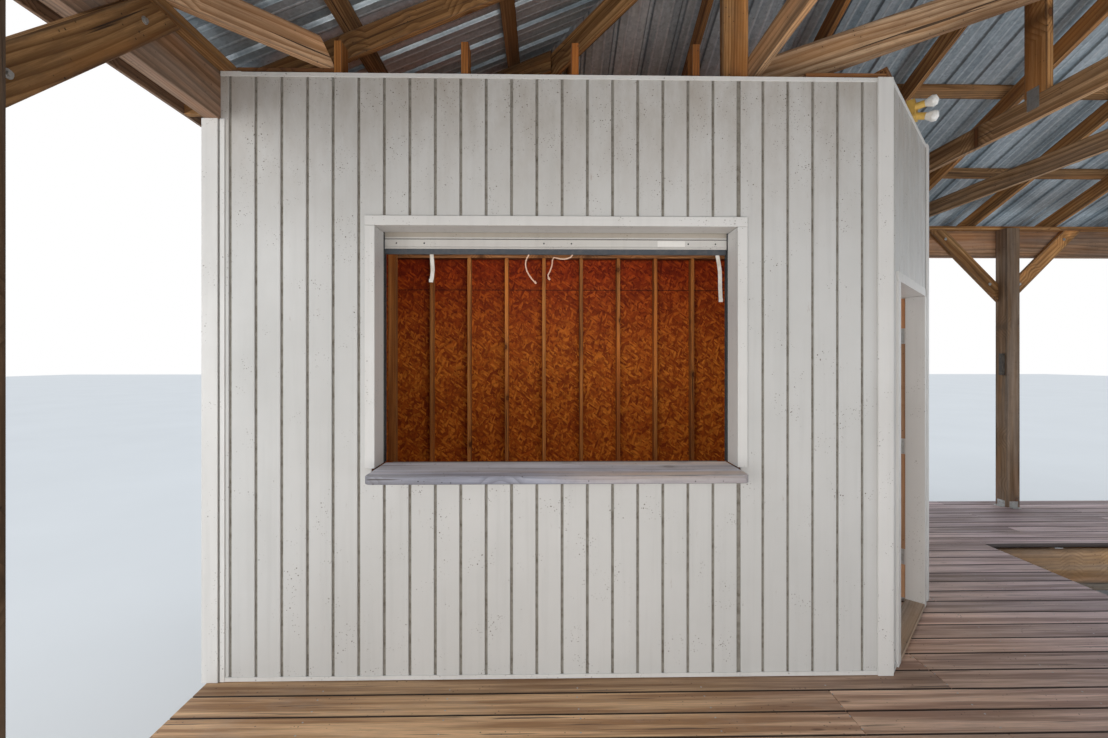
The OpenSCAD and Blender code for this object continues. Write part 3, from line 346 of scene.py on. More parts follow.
def wood(name, pale, deep, knot=(0.16, 0.06, 0.02), dirt=0.35, grey=0.0, rings=64.0, rough=0.75,
         stain=(0.10, 0.07, 0.05), faces=None):
    """Sawn timber: growth rings that swing round knots, streaks, splits, grey bloom, dark arrises.
    faces paints light and shade on a level board: its top is multiplied by the second factor, a painted highlight,
    and its sides and underside by the first, a painted shade."""
    s = Shader(name)
    g = s.attribute("grain")
    tint = s.attribute("tint", "Fac")
    _, across, depth = s.split(g)
    knots = s.cells(s.scaled(g, (1.9, 2.8, 1.0)), 1.0, dimensions="2D")
    swing = s.band(knots, 0.03, 0.24, 3.2, 0.0)
    sway = s.noise(s.scaled(g, (0.5, 2.5, 2.5)), 1.0, 2.0)
    ring = s.maths("ADD", s.maths("MULTIPLY", across, rings), s.maths("MULTIPLY", sway, rings * 0.09))
    ring = s.maths("ADD", ring, s.maths("MULTIPLY", depth, rings * 0.4))
    ring = s.maths("FRACT", s.maths("ADD", ring, swing))
    late = s.maths("MULTIPLY", s.band(ring, 0.35, 0.92), s.band(ring, 0.92, 1.0, 1.0, 0.0))
    streak = s.noise(s.scaled(g, (0.6, 20.0, 20.0)), 1.0, 5.0, 0.65)
    fibre = s.noise(s.scaled(g, (9.0, 210.0, 210.0)), 1.0, 3.0, 0.7)
    colour = s.mix(s.maths("MULTIPLY", late, 0.85), pale, deep)
    colour = s.mix(s.band(streak, 0.42, 0.62, 0.0, 0.7), colour, tuple(v * 0.8 for v in deep))
    colour = s.mix(s.band(fibre, 0.4, 0.7, 0.0, 0.5), colour, deep)
    warm = s.noise(s.scaled(g, (0.45, 5.0, 5.0)), 1.0, 2.0)
    colour = s.mix(s.band(warm, 0.5, 0.68, 0.0, 0.6), colour, tuple(v * k for v, k in zip(pale, (1.15, 0.85, 0.55))))
    heart = s.noise(s.scaled(g, (0.7, 8.0, 8.0)), 1.0, 3.0)
    colour = s.mix(s.band(heart, 0.42, 0.66, 0.0, 0.55), colour, deep, "MULTIPLY")
    colour = s.mix(s.band(knots, 0.055, 0.12, 0.7, 0.0), colour, tuple(v * 0.6 for v in deep))
    colour = s.mix(s.band(knots, 0.044, 0.052, 0.95, 0.0), colour, tuple(v * 0.5 for v in knot))
    colour = s.mix(s.band(knots, 0.030, 0.044, 0.8, 0.0), colour, knot)
    splits = s.noise(s.scaled(g, (0.9, 50.0, 50.0)), 1.0, 2.0, 0.5)
    split = s.band(splits, 0.30, 0.325, 1.0, 0.0)
    colour = s.mix(s.maths("MULTIPLY", split, 0.85), colour, (0.025, 0.016, 0.012))
    bloom = s.band(s.noise(s.scaled(g, (0.8, 9.0, 9.0)), 1.0, 4.0), 0.42, 0.66, 0.0, grey)
    colour = s.mix(bloom, colour, (0.30, 0.28, 0.26))
    soil = s.noise(s.place, 6.0, 7.0, 0.75)
    colour = s.mix(s.band(soil, 0.5, 0.74, 0.0, dirt), colour, stain)
    _, y, z = s.split(s.attribute("rim"))
    arris = s.maths("MINIMUM", s.maths("ABSOLUTE", y), s.maths("ABSOLUTE", z))
    arris = s.maths("ADD", arris, s.maths("MULTIPLY", s.noise(s.scaled(g, (6.0, 30.0, 30.0)), 1.0, 4.0, 0.7), 0.35))
    colour = s.mix(s.band(arris, 0.98, 1.2, 0.0, 0.75), colour, stain)
    for scale, size in ((9.0, 0.05), (31.0, 0.13)):
        speck = s.band(s.cells(s.place, scale), size * 0.7, size, 0.8, 0.0)
        colour = s.mix(s.maths("MULTIPLY", speck, s.band(soil, 0.48, 0.56)), colour, (0.03, 0.02, 0.015))
    colour = s.mix(1.0, colour, s.grey(s.band(tint, 0.0, 1.0, 0.72, 1.22)), "MULTIPLY")
    # Painted light and shade: a level board's top is made lighter and its sides darker by the two factors in faces.
    if faces:
        colour = s.mix(1.0, colour, s.grey(s.band(z, -0.97, -0.88, faces[1], faces[0])), "MULTIPLY")
    height = s.maths("ADD", s.maths("MULTIPLY", fibre, 0.5), s.maths("MULTIPLY", late, 0.4))
    height = s.maths("SUBTRACT", height, s.maths("MULTIPLY", split, 2.0))
    return s.done(colour, s.band(fibre, 0.2, 0.8, rough - 0.12, rough + 0.1), height, 0.0015, specular=0.2)


def painted(name, base, worn, speck=0.5, rust=0.0, rough=0.45, streak=0.25, eaves=None):
    """Paint or coil coating: faint streaks, soft dirt, dark specks, a little rust, and brown stains
    that grow between two heights, where the eaves drip."""
    s = Shader(name)
    soft = s.noise(s.place, 1.3, 5.0, 0.6)
    run = s.noise(s.scaled(s.place, (22.0, 22.0, 0.9)), 1.0, 4.0, 0.6)
    colour = s.mix(s.band(soft, 0.35, 0.7, 0.0, 0.7), base, worn)
    colour = s.mix(s.band(run, 0.5, 0.8, 0.0, streak), colour, tuple(v * 0.72 for v in worn))
    if eaves:
        high = s.band(s.split(s.place)[2], *eaves)
        cloud = s.noise(s.scaled(s.place, (5.0, 5.0, 2.0)), 1.0, 6.0, 0.7)
        stain = s.maths("MULTIPLY", high, s.band(cloud, 0.36, 0.7, 0.15, 0.7))
        colour = s.mix(stain, colour, (0.24, 0.185, 0.13))
        sparse = s.band(s.noise(s.place, 7.0, 3.0), s.maths("SUBTRACT", 0.54, s.maths("MULTIPLY", high, 0.2)), 0.64)
    else:
        sparse = s.band(s.noise(s.place, 9.0, 2.0), 0.52, 0.6)
    for scale, size in ((34.0, 0.15), (75.0, 0.2)):
        dots = s.band(s.cells(s.place, scale), size * 0.5, size, 1.0, 0.0)
        colour = s.mix(s.maths("MULTIPLY", s.maths("MULTIPLY", dots, sparse), speck), colour, (0.08, 0.055, 0.035))
    if rust:
        patch = s.band(s.noise(s.scaled(s.place, (30.0, 30.0, 7.0)), 1.0, 6.0, 0.7), 0.66, 0.76, 0.0, rust)
        colour = s.mix(patch, colour, (0.20, 0.10, 0.045))
    ripple = s.noise(s.place, 14.0, 2.0)
    return s.done(colour, s.band(soft, 0.3, 0.7, rough - 0.08, rough + 0.15), ripple, 0.0006)


OSB_SEAM_Z = 3.12


def strand_board(name):
    """Sheathing of pressed wood strands: long flakes in several directions, painted shade that makes it darker and
    redder towards the top, and a dark joint where the upper row of boards starts."""
    s = Shader(name)
    where = s.attribute("grain")
    colour = None
    for number, (angle, scale) in enumerate(((1.2, 7.5), (0.35, 10.0), (2.2, 13.0))):
        spun = s.node("Mapping", {"Vector": where, "Rotation": (0.0, 0.0, angle)}).outputs[0]
        flake = s.node("TexVoronoi", {"Vector": s.scaled(spun, (scale, scale * 4.2, scale * 4.2)), "Scale": 1.0})
        tone = s.split(flake.outputs["Color"])[0]
        layer = s.ramp(tone, (0.0, (0.18, 0.028, 0.003)), (0.5, (0.37, 0.080, 0.007)), (1.0, (0.62, 0.20, 0.022)))
        layer = s.mix(s.band(flake.outputs["Distance"], 0.4, 0.7, 0.0, 0.35), layer, (0.06, 0.010, 0.002))
        if colour is None:
            colour = layer
        else:
            choice = s.noise(s.scaled(where, (6.0, 11.0, 11.0)), 1.0 + number * 0.7, 1.0)
            colour = s.mix(s.band(choice, 0.47, 0.53), colour, layer)
    fibre = s.noise(s.scaled(where, (30.0, 160.0, 160.0)), 1.0, 2.0)
    colour = s.mix(s.band(fibre, 0.4, 0.75, 0.0, 0.3), colour, (0.12, 0.025, 0.006))
    up = s.split(s.place)[2]
    # Painted shade: the board is made darker and redder from 2.3 m up to 3.3 m.
    colour = s.mix(s.band(up, 2.3, 3.3, 0.0, 0.85), colour, (0.55, 0.16, 0.10), "MULTIPLY")
    seam = s.band(s.maths("ABSOLUTE", s.maths("SUBTRACT", up, OSB_SEAM_Z)), 0.002, 0.006, 0.9, 0.0)
    colour = s.mix(seam, colour, (0.02, 0.006, 0.003))
    return s.done(colour, 0.7, fibre, 0.0008, specular=0.12)


def galvanised(name, base=(0.42, 0.47, 0.50), dull=(0.26, 0.31, 0.34)):
    """Zinc coated sheet: faint spangle, cloudy dulling, streaks down the slope, small rust specks."""
    s = Shader(name)
    cloud = s.noise(s.place, 1.6, 5.0, 0.6)
    spangle = s.cells(s.place, 60.0, output="Color")
    colour = s.mix(s.band(cloud, 0.35, 0.68), base, dull)
    colour = s.mix(0.12, colour, s.grey(s.split(spangle)[0]), "OVERLAY")
    dots = s.band(s.cells(s.place, 21.0), 0.04, 0.1, 1.0, 0.0)
    few = s.band(s.noise(s.place, 6.0, 2.0), 0.5, 0.58)
    colour = s.mix(s.maths("MULTIPLY", dots, few), colour, (0.10, 0.07, 0.05))
    rough = s.band(cloud, 0.3, 0.7, 0.34, 0.55)
    return s.done(colour, rough, s.noise(s.place, 7.0, 3.0), 0.002, metal=0.55, specular=0.5)


def plain(name, base, rough=0.5, metal=0.0, wear=(0.2, 0.17, 0.13), amount=0.5):
    """Small fittings: one colour with grime in patches and fine scratches."""
    s = Shader(name)
    grime = s.noise(s.place, 30.0, 5.0, 0.65)
    fine = s.noise(s.place, 220.0, 2.0)
    colour = s.mix(s.band(grime, 0.45, 0.75, 0.0, amount), base, wear)
    return s.done(colour, s.band(grime, 0.3, 0.7, rough - 0.1, rough + 0.2), fine, 0.0003, metal=metal)


POST = wood("post_wood", (0.27, 0.17, 0.10), (0.125, 0.075, 0.04), grey=0.35, dirt=0.45)
BEAM = wood("beam_wood", (0.39, 0.235, 0.14), (0.125, 0.065, 0.033), grey=0.25, dirt=0.4)
BRACE = wood("brace_wood", (0.60, 0.34, 0.145), (0.17, 0.075, 0.022), dirt=0.35)
ROOF_TIE = wood("roof_tie_wood", (0.68, 0.42, 0.22), (0.20, 0.10, 0.04), grey=0.2, dirt=0.35)
RAFTER = wood("rafter_wood", (0.48, 0.255, 0.10), (0.13, 0.055, 0.018), dirt=0.4)
TIE = wood("tie_wood", (0.78, 0.54, 0.34), (0.28, 0.14, 0.06), dirt=0.25)
PURLIN = wood("purlin_wood", (0.36, 0.20, 0.09), (0.11, 0.055, 0.022), dirt=0.4)
RIM = wood("rim_wood", (0.42, 0.26, 0.13), (0.24, 0.13, 0.06), dirt=0.35, grey=0.3)
PILE = wood("pile_wood", (0.24, 0.19, 0.14), (0.13, 0.10, 0.075), grey=0.6, dirt=0.5)
STUD = wood("stud_wood", (0.58, 0.25, 0.07), (0.26, 0.095, 0.022), knot=(0.12, 0.03, 0.005), dirt=0.2)
# Painted shade: the wall plates get a darker copy of the stud wood, for the shade they sit in under the roof.
SHADED_PLATE = wood("plate_wood_shaded", (0.40, 0.19, 0.08), (0.15, 0.06, 0.02), dirt=0.45)
SHELF = wood("shelf_wood", (0.26, 0.18, 0.13), (0.14, 0.095, 0.07), grey=0.4, dirt=0.5)
SIDING = painted("siding_white", (0.57, 0.57, 0.56), (0.49, 0.49, 0.475), speck=0.9, rust=0.35, eaves=(2.9, 3.85))
TRIM = painted("trim_white", (0.66, 0.655, 0.64), (0.57, 0.56, 0.54), speck=0.6, rust=0.15)
SILL = wood("sill_wood", (0.46, 0.39, 0.33), (0.26, 0.21, 0.17), grey=0.4, dirt=0.4)
OSB = strand_board("strand_board")
METAL = galvanised("roof_metal")
BRASS = plain("hinge_brass", (0.50, 0.42, 0.26), 0.4, 0.9)
ZINC = plain("zinc_steel", (0.52, 0.53, 0.53), 0.42, 0.85)
DARK = plain("dark_metal", (0.05, 0.055, 0.06), 0.5, 0.3)
SEAL = plain("seal_grey", (0.060, 0.068, 0.080), 0.8, wear=(0.17, 0.16, 0.15), amount=0.4)
LAMP = plain("lamp_yellow", (0.62, 0.40, 0.09), 0.45, wear=(0.30, 0.16, 0.04), amount=0.7)
BULB = plain("bulb_white", (0.80, 0.80, 0.78), 0.25, wear=(0.5, 0.46, 0.38), amount=0.35)
BOX = plain("box_dark", (0.045, 0.035, 0.028), 0.55)
print("materials", len(bpy.data.materials))

# %% [markdown]
# The floor is plain and pale, and the light soft. Most of what the picture shows is the underside
# of the roof, so large lamps low down shine up and in under it, as bright water and sky would.

# %% Floor and light
bpy.ops.mesh.primitive_plane_add(size=160)
floor = bpy.context.object
floor.name = "floor"
floor_shader = Shader("floor")
floor_tone = floor_shader.ramp(floor_shader.noise(floor_shader.place, 0.4), (0.3, (0.87, 0.87, 0.87)), (0.7, (0.90, 0.90, 0.90)))
floor.data.materials.append(floor_shader.done(floor_tone, 0.9))

world = bpy.data.worlds.new("world")
bpy.context.scene.world = world
world.use_nodes = True
world_tree = world.node_tree
sky = world_tree.nodes["Background"]
sky.inputs[0].default_value = (0.86, 0.93, 1.0, 1)
sky.inputs[1].default_value = 0.84
white = world_tree.nodes.new("ShaderNodeBackground")
white.inputs[0].default_value = (1, 1, 1, 1)
seen = world_tree.nodes.new("ShaderNodeMixShader")
ray = world_tree.nodes.new("ShaderNodeLightPath")
plain_view = ray.outputs["Is Camera Ray"]
for kind in ("Is Glossy Ray", "Is Transmission Ray"):
    either = world_tree.nodes.new("ShaderNodeMath")
    either.operation = "MAXIMUM"
    world_tree.links.new(plain_view, either.inputs[0])
    world_tree.links.new(ray.outputs[kind], either.inputs[1])
    plain_view = either.outputs[0]
world_tree.links.new(plain_view, seen.inputs[0])
world_tree.links.new(sky.outputs[0], seen.inputs[1])
world_tree.links.new(white.outputs[0], seen.inputs[2])
world_tree.links.new(seen.outputs[0], world_tree.nodes["World Output"].inputs[0])


def lamp(name, place, target, size, power, tint=(1, 1, 1)):
    data = bpy.data.lights.new(name, "AREA")
    data.shape = "RECTANGLE"
    data.size, data.size_y = size
    data.energy = power
    data.color = tint
    obj = bpy.data.objects.new(name, data)
    obj.location = place
    obj.rotation_euler = (Vector(target) - Vector(place)).to_track_quat("-Z", "Y").to_euler()
    bpy.context.scene.collection.objects.link(obj)


lamp("lamp_front_left", (-9.2, -6.4, 3.0), (-3.6, 1.0, 2.5), (5.0, 3.4), 300, (1.0, 0.98, 0.95))
lamp("lamp_up", (-3.2, -2.6, 0.95), (-2.6, 1.6, 5.2), (4.5, 2.0), 130, (1.0, 0.97, 0.93))
lamp("lamp_slip", (2.1, -0.6, 0.3), (1.4, 0.6, 5.0), (2.8, 5.5), 225, (0.93, 0.97, 1.0))
lamp("lamp_room", (-3.0, 1.9, 3.6), (-3.3, 3.9, 1.8), (2.6, 0.7), 38, (1.0, 0.93, 0.82))

# %% [markdown]
# The timber frame. Each board of the CAD parts is kept, its arrises eased, and its grain written
# along its own length, because a sawn timber shows its rings on the face and along the piece.

# %% Timber
for node, material in (
    ("piles", PILE), ("pile_caps", PILE), ("joists", RIM), ("rim_joists", RIM), ("posts", POST),
    ("side_beams", BEAM), ("long_beams", BEAM), ("knee_braces", BRACE), ("beam_plates", BRACE),
    ("hip_rafters", BRACE), ("ridge_board", RAFTER), ("common_rafters", RAFTER),
    ("jack_rafters", RAFTER), ("roof_ties", ROOF_TIE), ("tie_struts", BRACE), ("roof_braces", TIE),
    ("purlins", PURLIN), ("fascia", BEAM), ("wall_studs", STUD), ("wall_plates", SHADED_PLATE),
    ("inner_shelf", SHELF), ("threshold", SILL),
):
    timber(node, material)

# %% [markdown]
# The deck is made of boards with open joints, laid along the building. They are one row after
# another, butted over a joist, so the joints wander from row to row.

# %% Deck boards
deck_lo, deck_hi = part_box("deck_main")
walk_lo, walk_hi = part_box("deck_far_walk")
right_lo, right_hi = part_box("deck_right_walk")
ROWS = 57
BOARD_GAP = 0.006
DECK_DIP = 0.001
JOIST_PITCH = 0.61
row_pitch = (deck_hi.y - deck_lo.y) / ROWS


def deck_row(y, x0, x1):
    """Boards of one row between two ends, with a butt joint every 3 to 5 metres over a joist."""
    made = []
    start = x0
    while start < x1 - 0.01:
        length = JOIST_PITCH * rnd.choice((5, 6, 7, 8))
        end = x1 if x1 - (start + length) < 1.2 else start + length
        lo = (start + (0.001 if made else 0), y, deck_lo.z)
        hi = (end - 0.001, y + row_pitch - BOARD_GAP, deck_hi.z - DECK_DIP)
        made.append(block("board", lo, hi))
        start = end
    return made


boards = []
for row in range(ROWS):
    y = deck_lo.y + row * row_pitch
    if y + row_pitch / 2 < walk_lo.y:
        boards += deck_row(y, deck_lo.x, deck_hi.x)
        boards += deck_row(y, right_lo.x, right_hi.x)
    else:
        boards += deck_row(y, deck_lo.x, walk_hi.x)
deck = add_grain(bevelled(joined("deck_boards", boards), 0.004, 2), along=(1, 0, 0))


def deck_material():
    """Old stained boards: worn and tan before the room, mauve brown where the stain has kept; their sides are made
    nearly black as painted shade in the open joints.
    """
    s = Shader("deck_boards")
    g = s.attribute("grain")
    tint = s.attribute("tint", "Fac")
    fibre = s.noise(s.scaled(g, (5.0, 190.0, 190.0)), 1.0, 4.0, 0.7)
    ring = s.noise(s.scaled(g, (0.9, 26.0, 26.0)), 1.0, 3.0, 0.55)
    along = s.split(s.place)[0]
    wander = s.maths("MULTIPLY", s.noise(s.place, 0.8, 5.0, 0.65), 2.6)
    kept = s.band(s.maths("ADD", along, wander), -1.6, 1.9)
    stain = s.mix(s.band(ring, 0.4, 0.6), (0.66, 0.51, 0.525), (0.32, 0.22, 0.225))
    tan = s.mix(s.band(ring, 0.4, 0.6), (0.74, 0.47, 0.26), (0.36, 0.19, 0.085))
    colour = s.mix(kept, tan, stain)
    worn = s.band(s.noise(s.scaled(s.place, (2.2, 5.0, 5.0)), 1.0, 6.0, 0.7), 0.52, 0.68, 0.0, 0.75)
    colour = s.mix(worn, colour, s.mix(0.5, colour, (0.52, 0.41, 0.33)))
    colour = s.mix(s.band(fibre, 0.35, 0.75, 0.0, 0.5), colour, (0.12, 0.075, 0.06))
    split_noise = s.noise(s.scaled(g, (1.3, 60.0, 60.0)), 1.0, 2.0, 0.5)
    split = s.band(split_noise, 0.3, 0.33, 1.0, 0.0)
    colour = s.mix(s.maths("MULTIPLY", split, 0.7), colour, (0.04, 0.028, 0.025))
    knot_cells = s.cells(s.scaled(g, (1.9, 8.0, 3.0)), 1.0)
    colour = s.mix(s.band(knot_cells, 0.035, 0.08, 0.8, 0.0), colour, (0.12, 0.06, 0.035))
    litter = s.noise(s.place, 7.0, 5.0, 0.7)
    for scale, size in ((14.0, 0.07), (40.0, 0.16)):
        speck = s.maths("MULTIPLY", s.band(s.cells(s.place, scale), size * 0.6, size, 0.8, 0.0), s.band(litter, 0.5, 0.58))
        colour = s.mix(speck, colour, (0.05, 0.035, 0.03))
    shade = s.band(tint, 0.0, 1.0, 0.80, 1.38)
    colour = s.mix(1.0, colour, s.grey(shade), "MULTIPLY")
    # Painted shade: each board's sides and rounded edges, in the open joints, are made nearly black.
    side = s.maths("ABSOLUTE", s.split(s.attribute("rim"))[1])
    colour = s.mix(s.band(side, 0.93, 0.985, 0.0, 0.95), colour, (0.018, 0.012, 0.010))
    height = s.maths("SUBTRACT", fibre, s.maths("MULTIPLY", split, 2.0))
    return s.done(colour, s.band(worn, 0.0, 0.7, 0.55, 0.75), height, 0.0015, specular=0.35)


# The board edges on the line where the far walk starts are kept out of the painted joint shade.
rim = deck.data.attributes["rim"]
for vert in deck.data.vertices:
    if abs(vert.co.y - walk_lo.y) < 0.012:
        rim.data[vert.index].vector = (0, 0, 0)
finish(deck, deck_material())
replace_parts(deck, "deck_main", "deck_far_walk", "deck_right_walk")

screw = rod("screw", (0, 0, -0.002), (0, 0, 0.0002), 0.0042, 8)
screw_places = []
for row in range(ROWS):
    y = deck_lo.y + row * row_pitch
    x = deck_lo.x + JOIST_PITCH
    while x < deck_hi.x if y + row_pitch / 2 < walk_lo.y else x < walk_hi.x - 0.1:
        for share in (0.2, 0.76):
            wobble = rnd.uniform(-0.006, 0.006)
            screw_places.append((x + wobble, y + row_pitch * share + wobble / 2, deck_hi.z - DECK_DIP))
        x += JOIST_PITCH
finish(copies("deck_screws", screw, screw_places), ZINC)
print("deck boards", len(boards), "screws", len(screw_places), "row pitch", round(row_pitch, 4))

# %% [markdown]
# The room is clad with ribbed metal siding over sheathing. One rib of it is a flat strip, 127 mm from groove to
# groove, with a folded edge. The strips stand on a dark backing, which is painted shade: it makes the grooves read
# dark, as the shade in the real folded ones does, with some dirt. Channels close the ends.

# %% Siding
RIB_PITCH = 0.127
GROOVE_W = 0.013
RIB_DEPTH = 0.008
SIDING_T = 0.012
WALL_T = 0.024
CHANNEL_H = 0.022
CHANNEL_OUT = 0.004
# Painted shade: this dark colour stands for the shade deep in the siding's grooves and gaps; its darker patches are
# dirt.
GROOVE_SHADE_AND_DIRT = plain("siding_groove_shade_and_dirt", (0.25, 0.235, 0.205), 0.8, wear=(0.09, 0.07, 0.05), amount=0.85)


def wall_frame(corner, along):
    """Local axes of a wall: X along it, Y into it, Z up."""
    along = Vector(along).normalized()
    inward = Vector((-along.y, along.x, 0))
    turn = Matrix((along, inward, Vector((0, 0, 1)))).transposed().to_4x4()
    return Matrix.Translation(Vector(corner)) @ turn


def siding_strip(s0, s1, z0, z1, folds):
    """One rib: a strip whose long front edges at the places in folds are folded back."""
    strip = block("strip", (s0, 0, z0), (s1, RIB_DEPTH, z1))
    pick(strip)
    bpy.ops.object.mode_set(mode="EDIT")
    bpy.ops.mesh.select_all(action="DESELECT")
    bpy.ops.object.mode_set(mode="OBJECT")
    for edge in strip.data.edges:
        a, b = (strip.data.vertices[i].co for i in edge.vertices)
        edge.select = abs(a.z - b.z) > 0.01 and a.y < RIB_DEPTH / 2 and any(abs(a.x - s) < 0.001 for s in folds)
    bpy.ops.object.mode_set(mode="EDIT")
    bpy.ops.mesh.select_mode(type="EDGE")
    bpy.ops.mesh.bevel(offset=0.0035, segments=2)
    bpy.ops.mesh.select_mode(type="VERT")
    bpy.ops.object.mode_set(mode="OBJECT")
    return strip


def clad(node, place, s0, s1, z0, z1, first, low=True, top=True, sheathing=True):
    """Siding, a dark sheet of painted shade behind the grooves, end channels and sheathing of one wall panel, from s0
    to s1 along the wall.
    """
    strips = []
    count = math.floor((s1 - first) / RIB_PITCH) + 1
    edges = [first + k * RIB_PITCH for k in range(-40, count + 1)]
    for groove in edges:
        a = max(s0, groove + GROOVE_W / 2)
        b = min(s1, groove + RIB_PITCH - GROOVE_W / 2)
        if b - a > 0.012:
            strips.append(siding_strip(a, b, z0, z1, [s for s in (a, b) if s0 < s < s1]))
    ribs = joined(node + "_siding", strips)
    ribs.data.transform(place)
    finish(ribs, SIDING)
    # The backing is a dark sheet of painted shade behind the grooves.
    back = block(node + "_shade_backing", (s0, RIB_DEPTH, z0), (s1, SIDING_T, z1))
    back.data.transform(place)
    finish(back, GROOVE_SHADE_AND_DIRT)
    made = [ribs, back]
    ends = []
    if low:
        ends.append(block("channel", (s0, -CHANNEL_OUT, z0 + 0.001), (s1, RIB_DEPTH / 2, z0 + CHANNEL_H), 0.001))
    if top:
        ends.append(block("channel", (s0, -CHANNEL_OUT, z1 - CHANNEL_H), (s1, RIB_DEPTH / 2, z1 - 0.001), 0.001))
    if ends:
        rim = joined(node + "_channels", ends)
        rim.data.transform(place)
        made.append(finish(rim, TRIM))
    if sheathing:
        board = block(node + "_sheathing", (s0, SIDING_T, z0), (s1, WALL_T, z1))
        board.data.transform(place)
        made.append(finish(add_grain(board, along=(0, 0, 1)), OSB))
    for obj in made:
        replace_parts(obj, node)
    return made


wall_left, wall_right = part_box("front_wall_left"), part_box("front_wall_right")
wall_over, wall_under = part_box("front_wall_over"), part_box("front_wall_under")
front_y = wall_left[0].y
FIRST_GROOVE_X = -1.7734
front = wall_frame((0, front_y, 0), (1, 0, 0))
beam_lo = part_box("side_beams")[0].z
left_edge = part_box("posts")[0].x
clad("front_wall_left", front, left_edge, wall_left[1].x, wall_left[0].z, wall_left[1].z, FIRST_GROOVE_X)
clad("front_wall_right", front, wall_right[0].x, wall_right[1].x, wall_right[0].z, wall_right[1].z, FIRST_GROOVE_X)
clad("front_wall_over", front, wall_over[0].x, wall_over[1].x, wall_over[0].z, wall_over[1].z, FIRST_GROOVE_X, low=False)
clad("front_wall_under", front, wall_under[0].x, wall_under[1].x, wall_under[0].z, wall_under[1].z, FIRST_GROOVE_X, top=False)
print("front siding", round(wall_right[1].x - left_edge, 3), "m wide, rib", RIB_PITCH)

# %% [markdown]
# The wall runs out under the side beam at its left end, where a narrow gap, filled with a dark block as painted
# shade, and an upright channel stand next to the corner board, and a short offcut of trim covers the corner of the
# top.

# %% Left end of the front wall
# Painted shade: a dark block stands for the shade in the narrow gap.
left_gap_shade = block("left_gap_shade", (wall_left[0].x, 0.004, wall_left[0].z), (left_edge, WALL_T, beam_lo))
left_gap_shade.data.transform(front)
finish(left_gap_shade, GROOVE_SHADE_AND_DIRT)
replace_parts(left_gap_shade, "front_wall_left")
UPRIGHT_W = 0.022
OFFCUT_W = 0.105
upright = block("upright", (left_edge - 0.002, -0.006, wall_left[0].z + 0.001), (left_edge + UPRIGHT_W, 0.006, beam_lo), 0.001)
offcut_low = wall_left[1].z - CHANNEL_H - 0.004
offcut = block("offcut", (left_edge + 0.004, -0.009, offcut_low), (left_edge + OFFCUT_W, -0.0045, wall_left[1].z - 0.001), 0.001)
left_trim = joined("left_trim", [upright, offcut])
left_trim.data.transform(front)
finish(left_trim, TRIM)

# %% [markdown]
# The other walls have the same siding. Only the inner face of the back wall shows from the front,
# through the serving window, but the part is looked at from every side.

# %% Siding of the other walls
C = math.sqrt(0.5)
corner = Vector((wall_right[1].x, front_y, 0))
angled = wall_frame(corner, (1, 1, 0))
angle_len = (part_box("angle_wall_far")[1].x - corner.x) / C
door_s0 = (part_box("angle_wall_near")[1].x - corner.x) / C
door_s1 = (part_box("angle_wall_far")[0].x - corner.x) / C + WALL_T
wall_low, wall_top = wall_left[0].z, wall_left[1].z
over_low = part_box("angle_wall_over")[0].z
FIRST_GROOVE_S = 0.06
clad("angle_wall_near", angled, WALL_T * math.tan(math.radians(22.5)), door_s0, wall_low, wall_top, FIRST_GROOVE_S)
clad("angle_wall_far", angled, door_s1, angle_len - WALL_T * math.tan(math.radians(22.5)), wall_low, wall_top, FIRST_GROOVE_S)
clad("angle_wall_over", angled, door_s0, door_s1, over_low, wall_top, FIRST_GROOVE_S, low=False)
right_lo_, right_hi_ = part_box("right_wall")
right_side = wall_frame((right_hi_.x, right_lo_.y, 0), (0, 1, 0))
right_len = right_hi_.y - right_lo_.y
back_lo, back_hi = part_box("back_wall")
back = wall_frame((back_hi.x, back_hi.y, 0), (-1, 0, 0))
clad("back_wall", back, 0.0, back_hi.x - back_lo.x, back_lo.z, back_hi.z, 0.03)
side_lo, side_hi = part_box("left_wall")
left_side = wall_frame((side_lo.x, side_hi.y, 0), (0, -1, 0))
clad("left_wall", left_side, 0.0, side_hi.y - side_lo.y, side_lo.z, side_hi.z, 0.05)

# %% [markdown]
# The right wall is in two heights in the CAD part, because it meets the far beam near its top.

# %% Right wall
far_beam_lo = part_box("long_beams")[0]
far_beam_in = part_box("long_beams")[1].y - 0.076
clad("right_wall", right_side, 0.0, right_len, right_lo_.z, far_beam_lo.z, 0.04, top=False)
clad("right_wall", right_side, 0.0, far_beam_in - right_lo_.y, far_beam_lo.z, right_hi_.z, 0.04, low=False)
for name in ("corner_boards", "window_frame"):
    trim = finish(stand_in(name, 0.002), TRIM)
    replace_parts(trim, name)

# %% [markdown]
# The roof sheets have high ribs, which the CAD part draws, and two low ones between each pair, which are pressed only
# a few millimetres and are given here as bump. Their distance from the sheet's middle says where they are, so the
# pattern runs up the slope on all four sides. The low ribs also get a painted highlight, and the flanks of the high
# ribs a painted shade.

# %% Roof sheets
SHEET_RIB = 0.229


